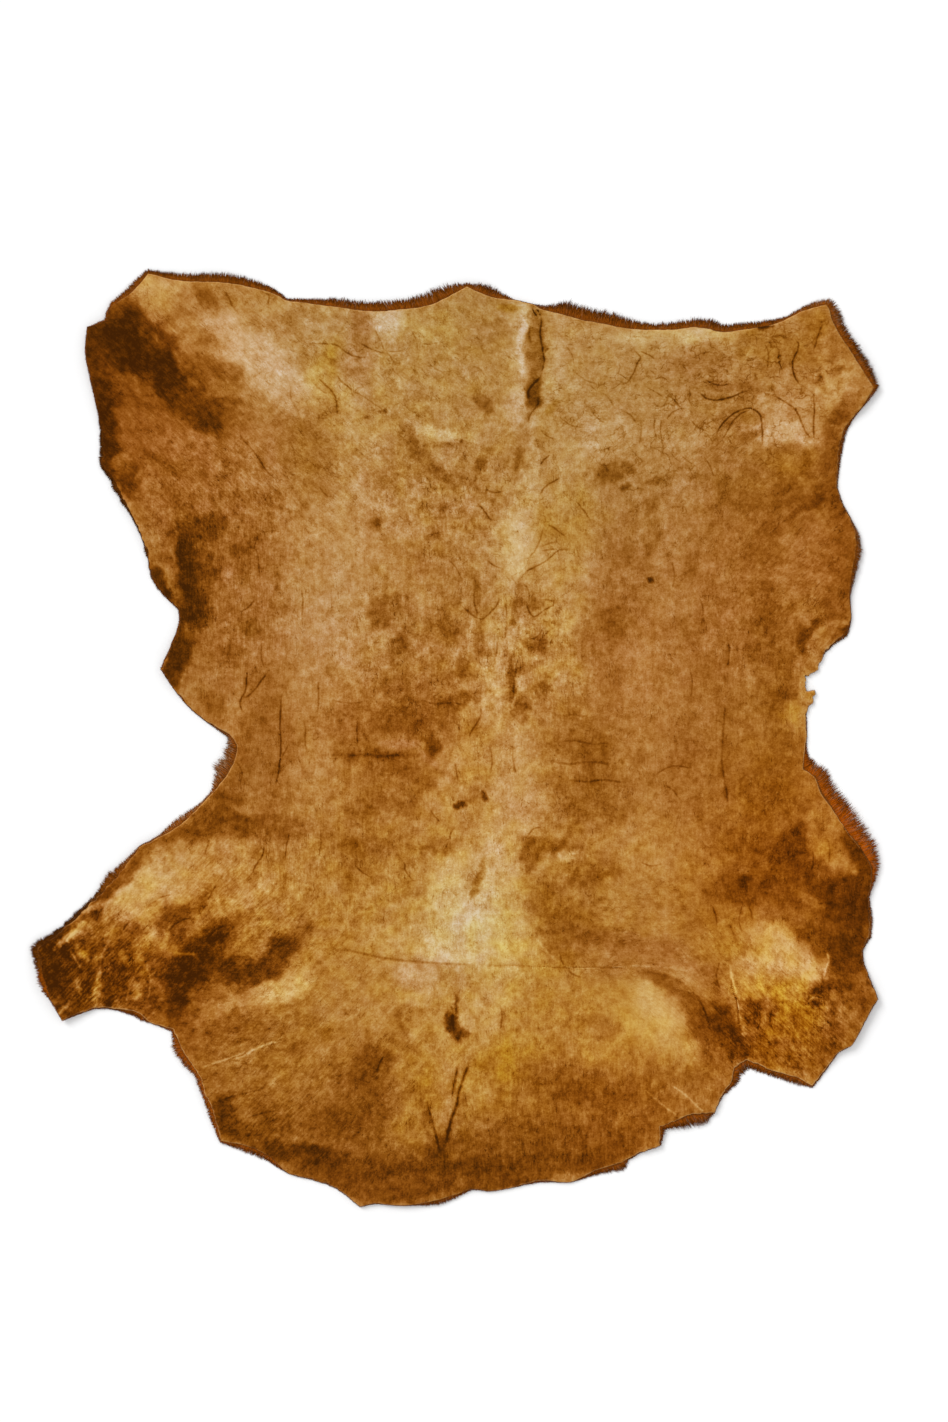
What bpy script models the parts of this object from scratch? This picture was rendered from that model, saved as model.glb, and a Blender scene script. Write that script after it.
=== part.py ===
"""Leather hide with its hair on, spread out flat with the flesh side up.

It is one piece and so one solid: a sheet of leather on a pressed pile of hair,
and the pile reaches past the cut edge of the leather as a fringe.
Metres. +Y runs along the spine to the neck, +X to the right-hand flank, +Z up.
The origin is under the middle of the hide's box, on the surface that it lies on.
"""
import math
from typing import NamedTuple

import bmesh
import bpy
import numpy as np
from mathutils import Vector
from mathutils.geometry import delaunay_2d_cdt

# Thicknesses
LEATHER = 0.0025         # the tanned skin
PILE = 0.0060            # the hair under it, pressed flat
FRINGE_TIP = 0.0030      # height of the fringe at the hair's ends

# Fineness of the faceted solid
EDGE_STEP = 0.024        # between two points along the outline
FIELD_STEP = 0.058       # between two points inside it
FOLD_STEP = 0.030        # between two points along a fold
CLEARANCE = 0.55         # least gap between points, as a share of FIELD_STEP

# The fringe stands out square to the outline, smoothed over this many steps each way
FRINGE_SMOOTHING = 2

LEATHER_COLOUR = (0.46, 0.22, 0.06, 1.0)
LEATHER_ROUGHNESS = 0.85

CORNER = True


class EdgePoint(NamedTuple):
    """A point on the cut edge of the leather, and how far the hair shows past it."""
    x: float
    y: float
    hair: float
    corner: bool = False


class Swell(NamedTuple):
    """A long low dome: its middle, half sizes, turn from +X in degrees, and height."""
    x: float
    y: float
    half_length: float
    half_width: float
    turn: float
    height: float


class Fold(NamedTuple):
    """A pinched ridge along a path, which fades out at both ends."""
    path: tuple
    half_width: float
    height: float


# ---- The outline, clockwise from the left-hand corner of the neck -------------

NECK_LEFT = (
    EdgePoint(-0.696, 1.043, 0.013, CORNER),
    EdgePoint(-0.620, 1.026, 0.020),
    EdgePoint(-0.515, 1.021, 0.025),
    EdgePoint(-0.426, 1.002, 0.016),
    EdgePoint(-0.384, 0.982, 0.007, CORNER),
    EdgePoint(-0.276, 0.968, 0.020),
    EdgePoint(-0.197, 0.958, 0.025),
    EdgePoint(-0.125, 0.962, 0.025),
    EdgePoint(-0.066, 0.971, 0.029),
    EdgePoint(-0.021, 0.990, 0.032),
    EdgePoint(0.021, 1.013, 0.009, CORNER),
    EdgePoint(0.053, 0.998, 0.027),
    EdgePoint(0.089, 0.987, 0.022),
    EdgePoint(0.127, 0.983, 0.003),
    EdgePoint(0.170, 0.973, 0.003, CORNER),
)

NECK_RIGHT = (
    EdgePoint(0.186, 0.964, 0.011),
    EdgePoint(0.235, 0.951, 0.036),
    EdgePoint(0.276, 0.939, 0.032),
    EdgePoint(0.327, 0.930, 0.034),
    EdgePoint(0.384, 0.919, 0.027),
    EdgePoint(0.438, 0.916, 0.017),
    EdgePoint(0.489, 0.917, 0.020),
    EdgePoint(0.539, 0.922, 0.025),
    EdgePoint(0.568, 0.917, 0.027),
    EdgePoint(0.595, 0.911, 0.021),
    EdgePoint(0.647, 0.917, 0.018),
    EdgePoint(0.708, 0.928, 0.015),
    EdgePoint(0.744, 0.942, 0.008),
    EdgePoint(0.771, 0.957, 0.010),
    EdgePoint(0.831, 0.974, 0.021, CORNER),
)

RIGHT_SHOULDER = (
    EdgePoint(0.838, 0.953, 0.028),
    EdgePoint(0.852, 0.917, 0.025),
    EdgePoint(0.879, 0.874, 0.026),
    EdgePoint(0.906, 0.831, 0.026),
    EdgePoint(0.935, 0.786, 0.016, CORNER),
    EdgePoint(0.912, 0.746, 0.004),
    EdgePoint(0.883, 0.712, 0.006),
    EdgePoint(0.865, 0.678, 0.010),
    EdgePoint(0.856, 0.629, 0.009),
    EdgePoint(0.854, 0.561, 0.003),
    EdgePoint(0.863, 0.530, 0.003),
    EdgePoint(0.888, 0.478, 0.006),
)

RIGHT_FLANK = (
    EdgePoint(0.897, 0.433, 0.016),
    EdgePoint(0.888, 0.377, 0.013),
    EdgePoint(0.881, 0.316, 0.004),
    EdgePoint(0.885, 0.269, 0.003),
    EdgePoint(0.876, 0.235, 0.008),
    EdgePoint(0.845, 0.213, 0.007, CORNER),
    EdgePoint(0.825, 0.188, 0.003),
    EdgePoint(0.811, 0.150, 0.003, CORNER),
    EdgePoint(0.782, 0.139, 0.003, CORNER),
    EdgePoint(0.787, 0.107, 0.003, CORNER),
    EdgePoint(0.803, 0.105, 0.004, CORNER),
    EdgePoint(0.800, 0.078, 0.004),
    EdgePoint(0.784, 0.058, 0.004, CORNER),
    EdgePoint(0.784, 0.006, 0.004),
    EdgePoint(0.780, -0.037, 0.008),
    EdgePoint(0.778, -0.071, 0.034, CORNER),
)

RIGHT_THIGH = (
    EdgePoint(0.804, -0.091, 0.038),
    EdgePoint(0.816, -0.123, 0.038),
    EdgePoint(0.847, -0.168, 0.040),
    EdgePoint(0.879, -0.215, 0.042),
    EdgePoint(0.910, -0.256, 0.034),
    EdgePoint(0.931, -0.294, 0.020),
    EdgePoint(0.929, -0.343, 0.004),
    EdgePoint(0.924, -0.366, 0.003),
    EdgePoint(0.928, -0.415, 0.004),
    EdgePoint(0.926, -0.447, 0.008, CORNER),
    EdgePoint(0.911, -0.480, 0.003),
    EdgePoint(0.912, -0.505, 0.003),
    EdgePoint(0.944, -0.588, 0.003, CORNER),
)

RIGHT_HIND_LEG = (
    EdgePoint(0.924, -0.620, 0.003),
    EdgePoint(0.885, -0.692, 0.003),
    EdgePoint(0.856, -0.708, 0.003, CORNER),
    EdgePoint(0.798, -0.784, 0.007, CORNER),
    EdgePoint(0.759, -0.764, 0.018),
    EdgePoint(0.703, -0.748, 0.015),
    EdgePoint(0.649, -0.726, 0.023),
    EdgePoint(0.624, -0.744, 0.026, CORNER),
    EdgePoint(0.615, -0.775, 0.018),
)

RUMP_RIGHT = (
    EdgePoint(0.595, -0.807, 0.004),
    EdgePoint(0.577, -0.843, 0.004, CORNER),
    EdgePoint(0.560, -0.845, 0.027),
    EdgePoint(0.523, -0.849, 0.034),
    EdgePoint(0.456, -0.876, 0.016, CORNER),
    EdgePoint(0.456, -0.917, 0.004, CORNER),
    EdgePoint(0.411, -0.933, 0.004),
    EdgePoint(0.385, -0.947, 0.005),
    EdgePoint(0.370, -0.955, 0.028, CORNER),
    EdgePoint(0.309, -0.975, 0.014),
    EdgePoint(0.253, -1.000, 0.003),
    EdgePoint(0.186, -0.996, 0.007),
    EdgePoint(0.129, -1.011, 0.003),
    EdgePoint(0.069, -1.020, 0.004),
    EdgePoint(0.033, -1.016, 0.004),
    EdgePoint(-0.035, -1.038, 0.013),
    EdgePoint(-0.118, -1.052, 0.003),
    EdgePoint(-0.186, -1.048, 0.003),
    EdgePoint(-0.219, -1.056, 0.003, CORNER),
)

RUMP_LEFT = (
    EdgePoint(-0.269, -1.016, 0.003),
    EdgePoint(-0.321, -0.996, 0.003),
    EdgePoint(-0.381, -0.980, 0.003),
    EdgePoint(-0.417, -0.948, 0.012),
    EdgePoint(-0.467, -0.921, 0.018),
    EdgePoint(-0.532, -0.908, 0.006, CORNER),
    EdgePoint(-0.546, -0.856, 0.013),
    EdgePoint(-0.564, -0.809, 0.011),
    EdgePoint(-0.584, -0.755, 0.013),
    EdgePoint(-0.602, -0.730, 0.018),
    EdgePoint(-0.622, -0.696, 0.025),
    EdgePoint(-0.640, -0.656, 0.009, CORNER),
)

LEFT_HIND_LEG = (
    EdgePoint(-0.692, -0.640, 0.003),
    EdgePoint(-0.719, -0.619, 0.011),
    EdgePoint(-0.764, -0.611, 0.006),
    EdgePoint(-0.816, -0.609, 0.004),
    EdgePoint(-0.888, -0.636, 0.004, CORNER),
    EdgePoint(-0.912, -0.591, 0.004),
    EdgePoint(-0.926, -0.552, 0.013),
    EdgePoint(-0.935, -0.514, 0.012),
    EdgePoint(-0.944, -0.474, 0.018, CORNER),
    EdgePoint(-0.894, -0.438, 0.007),
    EdgePoint(-0.849, -0.397, 0.008),
    EdgePoint(-0.811, -0.359, 0.008),
    EdgePoint(-0.775, -0.323, 0.016),
    EdgePoint(-0.714, -0.246, 0.004, CORNER),
)

LEFT_THIGH = (
    EdgePoint(-0.669, -0.224, 0.007),
    EdgePoint(-0.624, -0.197, 0.019),
    EdgePoint(-0.579, -0.154, 0.007),
    EdgePoint(-0.550, -0.123, 0.004, CORNER),
    EdgePoint(-0.523, -0.091, 0.040),
    EdgePoint(-0.503, -0.055, 0.034),
    EdgePoint(-0.496, -0.017, 0.031),
    EdgePoint(-0.516, 0.008, 0.009, CORNER),
)

LEFT_FLANK = (
    EdgePoint(-0.575, 0.044, 0.003),
    EdgePoint(-0.618, 0.084, 0.003),
    EdgePoint(-0.667, 0.154, 0.003, CORNER),
    EdgePoint(-0.642, 0.208, 0.003),
    EdgePoint(-0.627, 0.251, 0.003),
    EdgePoint(-0.627, 0.287, 0.003),
    EdgePoint(-0.651, 0.312, 0.003),
    EdgePoint(-0.687, 0.361, 0.003),
    EdgePoint(-0.699, 0.422, 0.003),
    EdgePoint(-0.730, 0.494, 0.004),
    EdgePoint(-0.777, 0.584, 0.009),
    EdgePoint(-0.802, 0.613, 0.003, CORNER),
)

LEFT_SHOULDER = (
    EdgePoint(-0.795, 0.665, 0.008),
    EdgePoint(-0.804, 0.714, 0.003),
    EdgePoint(-0.822, 0.793, 0.003),
    EdgePoint(-0.836, 0.867, 0.003),
    EdgePoint(-0.831, 0.921, 0.003, CORNER),
    EdgePoint(-0.791, 0.935, 0.007, CORNER),
    EdgePoint(-0.777, 0.969, 0.009),
    EdgePoint(-0.737, 0.996, 0.017),
    EdgePoint(-0.714, 1.020, 0.017),
)

OUTLINE = (NECK_LEFT + NECK_RIGHT + RIGHT_SHOULDER + RIGHT_FLANK + RIGHT_THIGH
           + RIGHT_HIND_LEG + RUMP_RIGHT + RUMP_LEFT + LEFT_HIND_LEG + LEFT_THIGH
           + LEFT_FLANK + LEFT_SHOULDER)

# ---- How the hide lies: where no swell or fold lifts it, it is flat on the surface ----

EDGE_SWELLS = (
    Swell(-0.80, 0.86, 0.26, 0.12, 82.0, 0.013),      # left shoulder, curling up
    Swell(-0.56, 1.04, 0.20, 0.08, -4.0, 0.008),      # neck corner
    Swell(-0.16, 0.97, 0.18, 0.07, 2.0, 0.007),       # hollow of the neck
    Swell(0.02, 1.02, 0.13, 0.09, 0.0, 0.011),        # peak of the neck
    Swell(0.42, 0.93, 0.22, 0.07, -6.0, 0.006),
    Swell(0.90, 0.82, 0.20, 0.10, 122.0, 0.014),      # right shoulder tip
    Swell(0.90, 0.40, 0.18, 0.08, 88.0, 0.010),       # right flank
    Swell(0.90, -0.24, 0.24, 0.10, 125.0, 0.011),     # right thigh
    Swell(0.91, -0.62, 0.18, 0.11, 50.0, 0.014),      # right hind leg tip
    Swell(0.50, -0.88, 0.18, 0.07, 22.0, 0.009),
    Swell(-0.10, -1.05, 0.24, 0.07, 2.0, 0.007),      # root of the tail
    Swell(-0.57, -0.80, 0.18, 0.08, 108.0, 0.009),
    Swell(-0.92, -0.55, 0.16, 0.12, 98.0, 0.018),     # left hind leg tip, curling up
    Swell(-0.74, -0.30, 0.22, 0.09, 42.0, 0.010),
    Swell(-0.50, -0.05, 0.13, 0.07, 70.0, 0.009),     # left flank notch
    Swell(-0.66, 0.16, 0.15, 0.09, 60.0, 0.013),      # left flank point
    Swell(-0.74, 0.50, 0.20, 0.08, 114.0, 0.009),
)

FIELD_SWELLS = (
    Swell(-0.42, 0.66, 0.30, 0.12, 128.0, 0.006),
    Swell(0.44, 0.62, 0.32, 0.11, 8.0, 0.007),
    Swell(-0.18, 0.14, 0.34, 0.10, 84.0, 0.005),
    Swell(0.46, 0.12, 0.28, 0.10, 96.0, 0.006),
    Swell(0.36, -0.30, 0.30, 0.10, 168.0, 0.006),
    Swell(-0.42, -0.62, 0.26, 0.10, 28.0, 0.007),
    Swell(0.10, -0.86, 0.22, 0.09, 158.0, 0.005),
)

FOLDS = (
    # the pleat that the slit at the neck gathers
    Fold(((0.168, 0.960), (0.176, 0.900), (0.180, 0.835), (0.168, 0.775), (0.158, 0.715)),
         half_width=0.026, height=0.007),
    # the pleat above the root of the tail
    Fold(((0.018, -0.690), (0.012, -0.760), (0.000, -0.830), (-0.018, -0.900), (-0.034, -0.960)),
         half_width=0.024, height=0.006),
    # the line across the loin, where the hide was folded for storing
    Fold(((-0.330, -0.465), (-0.240, -0.478), (-0.100, -0.508), (0.080, -0.512), (0.300, -0.514),
          (0.450, -0.528), (0.560, -0.580), (0.620, -0.660)),
         half_width=0.032, height=0.004),
)


# ---- Curves -----------------------------------------------------------------

def catmull_rom(before, start, end, after, t):
    """A point on the smooth curve from start (t = 0) to end (t = 1)."""
    return 0.5 * (2.0 * start
                  + (end - before) * t
                  + (2.0 * before - 5.0 * start + 4.0 * end - after) * t ** 2
                  + (3.0 * start - before - 3.0 * end + after) * t ** 3)


def outline_samples():
    """The cut edge as points (x, y, hair): smooth curves that break at each corner."""
    rows = [Vector((p.x, p.y, p.hair)) for p in OUTLINE]
    least_hair = min(p.hair for p in OUTLINE)
    count = len(rows)
    samples = []
    for i, start in enumerate(rows):
        end = rows[(i + 1) % count]
        before = start - (end - start) if OUTLINE[i].corner else rows[i - 1]
        after = end + (end - start) if OUTLINE[(i + 1) % count].corner else rows[(i + 2) % count]
        steps = max(1, round((end - start).length / EDGE_STEP))
        for k in range(steps):
            point = catmull_rom(before, start, end, after, k / steps)
            point.z = max(point.z, least_hair)
            samples.append(point)
    return samples


def fringe_points(samples):
    """The hair's ends: each sample moved out, square to the smoothed outline."""
    count = len(samples)
    tips = []
    for i, sample in enumerate(samples):
        ahead = samples[(i + FRINGE_SMOOTHING) % count]
        behind = samples[i - FRINGE_SMOOTHING]
        along = (ahead - behind).to_2d().normalized()
        tips.append(sample.to_2d() + Vector((-along.y, along.x)) * sample.z)
    return tips


def fold_rows(fold):
    """Points along a fold's crest, with the way along it at each."""
    path = [Vector(p) for p in fold.path]
    rows = []
    for start, end in zip(path, path[1:]):
        steps = max(1, round((end - start).length / FOLD_STEP))
        rows += [(start.lerp(end, k / steps), (end - start).normalized()) for k in range(steps)]
    rows.append((path[-1], (path[-1] - path[-2]).normalized()))
    return rows


# ---- Height above the surface -------------------------------------------------

def dome(distance):
    """A smooth dome, 1 in the middle and 0 from a distance of 1 on."""
    return max(0.0, 1.0 - distance ** 2) ** 2


def swell_height(swell, point):
    turn = math.radians(swell.turn)
    east, north = point.x - swell.x, point.y - swell.y
    along = (east * math.cos(turn) + north * math.sin(turn)) / swell.half_length
    across = (north * math.cos(turn) - east * math.sin(turn)) / swell.half_width
    return swell.height * dome(math.hypot(along, across))


def fold_height(fold, point):
    path = [Vector(p) for p in fold.path]
    total = sum((b - a).length for a, b in zip(path, path[1:]))
    nearest, place, run = math.inf, 0.0, 0.0
    for start, end in zip(path, path[1:]):
        step = end - start
        share = min(1.0, max(0.0, (point - start).dot(step) / step.length_squared))
        gap = (start + step * share - point).length
        if gap < nearest:
            nearest, place = gap, run + step.length * share
        run += step.length
    from_middle = abs(2.0 * place / total - 1.0)
    return fold.height * dome(nearest / fold.half_width) * dome(from_middle ** 2)


def lift(point):
    """How far the underside of the pile is off the surface."""
    swells = sum(swell_height(swell, point) for swell in EDGE_SWELLS + FIELD_SWELLS)
    return swells + sum(fold_height(fold, point) for fold in FOLDS)


# ---- The solid ------------------------------------------------------------------

def inside(loop, points):
    """Which of the points lie inside the closed loop (both are arrays of x, y)."""
    ends = np.roll(loop, -1, axis=0)
    result = np.zeros(len(points), dtype=bool)
    for (x0, y0), (x1, y1) in zip(loop, ends):
        crosses = (y0 > points[:, 1]) != (y1 > points[:, 1])
        at_x = x0 + (points[:, 1] - y0) * (x1 - x0) / (y1 - y0) if y1 != y0 else x0
        result ^= crosses & (points[:, 0] < at_x)
    return result


def field_points(edge):
    """Points inside the outline: rows along the folds, then a staggered grid around them."""
    rows = np.array([row + Vector((-way.y, way.x)) * fold.half_width * side
                     for fold in FOLDS for row, way in fold_rows(fold) for side in (-1.0, 0.0, 1.0)])
    low, high = edge.min(axis=0), edge.max(axis=0)
    row_step = FIELD_STEP * math.sqrt(3.0) / 2.0
    grid = []
    for j in range(int((high[1] - low[1]) / row_step) + 1):
        stagger = 0.5 * FIELD_STEP * (j % 2)
        for i in range(int((high[0] - low[0]) / FIELD_STEP) + 1):
            grid.append((low[0] + stagger + i * FIELD_STEP, low[1] + j * row_step))
    grid = np.array(grid)
    grid = grid[inside(edge, grid)]
    taken = np.vstack([edge, rows])
    gaps = np.linalg.norm(grid[:, None, :] - taken[None, :, :], axis=2).min(axis=1)
    rows = rows[inside(edge, rows)]
    from_edge = np.linalg.norm(rows[:, None, :] - edge[None, :, :], axis=2).min(axis=1)
    rows = rows[from_edge > CLEARANCE * EDGE_STEP]
    return [Vector(p) for p in np.vstack([rows, grid[gaps > CLEARANCE * FIELD_STEP]])]


def add_ring(bm, points, height):
    return [bm.verts.new((p.x, p.y, lift(p) + height)) for p in points]


def add_band(bm, upper, lower):
    """The strip of faces between two rings of the same count, facing out."""
    count = len(upper)
    for i in range(count):
        k = (i + 1) % count
        bm.faces.new((upper[i], upper[k], lower[k], lower[i]))


def add_sheet(bm, ring, field, height, facing_up):
    """Fills a ring of vertices, with the field's points inside it."""
    verts = ring + add_ring(bm, field, height)
    flat = [v.co.to_2d() for v in verts]
    loop = list(range(len(ring)))
    triangles = delaunay_2d_cdt(flat, [], [loop], 1, 1e-7)[2]
    for triangle in triangles:
        a, b, c = (flat[i] for i in triangle)
        turns_left = (b - a).cross(c - a) > 0.0
        order = triangle if turns_left == facing_up else triangle[::-1]
        bm.faces.new([verts[i] for i in order])


def hide_mesh():
    samples = outline_samples()
    edge = [sample.to_2d() for sample in samples]
    fringe = fringe_points(samples)
    field = field_points(np.array(edge))

    bm = bmesh.new()
    leather_top = add_ring(bm, edge, PILE + LEATHER)
    leather_bottom = add_ring(bm, edge, PILE)
    hair_ends = add_ring(bm, fringe, FRINGE_TIP)
    hair_feet = add_ring(bm, fringe, 0.0)
    add_band(bm, leather_top, leather_bottom)
    add_band(bm, leather_bottom, hair_ends)
    add_band(bm, hair_ends, hair_feet)
    add_sheet(bm, leather_top, field, PILE + LEATHER, facing_up=True)
    add_sheet(bm, hair_feet, field, 0.0, facing_up=False)
    bmesh.ops.triangulate(bm, faces=bm.faces)

    low = Vector([min(v.co[axis] for v in bm.verts) for axis in range(3)])
    high = Vector([max(v.co[axis] for v in bm.verts) for axis in range(3)])
    middle = (low + high) / 2.0
    bmesh.ops.translate(bm, verts=bm.verts, vec=(-middle.x, -middle.y, -low.z))
    mesh = bpy.data.meshes.new("hide")
    bm.to_mesh(mesh)
    bm.free()
    return mesh


def leather_material():
    material = bpy.data.materials.new("leather")
    material.use_nodes = True
    shader = material.node_tree.nodes["Principled BSDF"]
    shader.inputs["Base Color"].default_value = LEATHER_COLOUR
    shader.inputs["Roughness"].default_value = LEATHER_ROUGHNESS
    shader.inputs["Metallic"].default_value = 0.0
    return material


def main():
    for item in list(bpy.data.objects):
        bpy.data.objects.remove(item)
    mesh = hide_mesh()
    mesh.materials.append(leather_material())
    hide = bpy.data.objects.new("hide", mesh)
    bpy.context.scene.collection.objects.link(hide)


main()
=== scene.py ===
"""The looks of the leather hide: its stained flesh side, and the hair under and around it.

The hide lies flat with its flesh side up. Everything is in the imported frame's metres, with
+Y to the neck, +X to the right-hand flank and +Z up, and the hide's shape is read from the
CAD solid: its cut edge, how far the hair reaches past it, and how high it lies at each place.
The tables of stains, creases and hair give places on the hide in millimetres.
"""
import math
from typing import NamedTuple

import bmesh
import bpy
import numpy as np
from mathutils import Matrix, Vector
from mathutils.bvhtree import BVHTree
from mathutils.geometry import delaunay_2d_cdt
from mathutils.kdtree import KDTree


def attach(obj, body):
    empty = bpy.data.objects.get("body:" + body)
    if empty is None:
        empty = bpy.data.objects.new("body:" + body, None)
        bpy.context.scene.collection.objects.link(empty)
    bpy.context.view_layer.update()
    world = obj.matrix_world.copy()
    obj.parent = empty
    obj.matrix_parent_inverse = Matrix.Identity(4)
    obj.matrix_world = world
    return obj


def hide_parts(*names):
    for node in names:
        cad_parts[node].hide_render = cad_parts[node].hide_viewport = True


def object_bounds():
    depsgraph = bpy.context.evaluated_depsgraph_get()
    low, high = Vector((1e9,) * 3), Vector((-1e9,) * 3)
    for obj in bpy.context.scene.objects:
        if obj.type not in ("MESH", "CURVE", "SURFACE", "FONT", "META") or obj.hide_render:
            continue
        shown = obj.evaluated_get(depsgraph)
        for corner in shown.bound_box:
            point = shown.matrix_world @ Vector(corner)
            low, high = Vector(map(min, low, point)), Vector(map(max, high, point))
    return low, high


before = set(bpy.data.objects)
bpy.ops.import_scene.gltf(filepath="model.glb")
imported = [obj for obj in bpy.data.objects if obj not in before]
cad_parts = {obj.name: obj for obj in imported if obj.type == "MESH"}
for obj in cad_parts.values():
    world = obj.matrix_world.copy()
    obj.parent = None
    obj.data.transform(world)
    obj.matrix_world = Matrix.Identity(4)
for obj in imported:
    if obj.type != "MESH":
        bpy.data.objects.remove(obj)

cad_low, cad_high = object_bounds()
MM = 0.001

# The CAD solid's layers
LEATHER = 2.5 * MM
PILE = 6.0 * MM

# Fineness of the skin's mesh
EDGE_STEP = 3.4 * MM         # along the cut edge
FIELD_STEP = 6.9 * MM        # on the shown side
UNDER_STEP = 26.0 * MM       # on the hidden side
CREASE_STEP = 4.2 * MM       # along a crease
LEAST_GAP = 1.3 * MM         # between any two of the creases' points
EDGE_GAP = 1.5 * MM          # between them and the points of the edge
CREASE_FADE = 0.15           # share of a crease's length that fades, at each end

# The cut edge
CORNER_TURN = math.radians(32.0)     # it is smooth but for turns sharper than this
CUT_WIDTH = 1.7 * MM         # it slopes out by this much, so that it shows from above
CUT_DROP = 0.4 * MM          # of its upper rim, below the shown side
CUT_LIFT = 0.3 * MM          # of its lower rim, above the hidden side
BORDER = 1.7 * MM            # from the upper rim to the points that keep the pale edge narrow

# The hair: sections of a lock as (share of its length, share of its width)
LOCK_SECTIONS = ((0.0, 0.95), (0.6, 0.85))       # in the fringe
PILE_SECTIONS = ((0.0, 0.7), (0.55, 1.0))        # on the underside
TUCKED = 7.0 * MM            # how far inside the cut edge a fringe lock has its root
STRAY = 4.0 * MM             # how far past the CAD's hair a fringe lock may reach
LOWEST_TIP = 0.5 * MM        # height of a lock's tip above what the hide lies on
PILE_STEP = 10.3 * MM        # between the underside's locks
UNDERCOAT_STEP = 17.0 * MM   # between the undercoat's points
UNDERCOAT_REACH = 0.62       # share of the fringe's reach that the undercoat has

# The view and the light; the world and the sun give about LIGHT_LEVEL on a level surface
WORLD_LIGHT = 0.78
SUN_LIGHT = 1.55
LIGHT_LEVEL = 1.10
SUN_FROM = (-0.55, 0.55, 0.62)
SUN_WIDTH = math.radians(28.0)
FLOOR_SIZE = 24.0
VIEW_HEIGHT = 3.20           # of the floor that the camera sees, in metres
VIEW_MIDDLE = (0.042, 0.061)         # the hide is a little below and left of it


# ---- What shows on the skin ---------------------------------------------------------

class Stain(NamedTuple):
    """A patch painted over what is under it: middle and half sizes (mm), turn from +X in
    degrees, tone (0 darkest to 1 lightest), hue (-1 golden to 1 rosy), and how far it covers
    what is under it (0 to 1)."""
    x: float
    y: float
    half_length: float
    half_width: float
    turn: float
    tone: float
    hue: float
    cover: float


class Crease(NamedTuple):
    """A vein or wrinkle: how dark its line is (the vein's own colour, with painted shade in the
    wrinkle's trough), how deep and how wide to each side (mm), and its path as x y pairs (mm).
    A ridge has a light line, a painted highlight along its top, and its depth is a height."""
    mark: float
    depth: float
    half_width: float
    path: str


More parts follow.
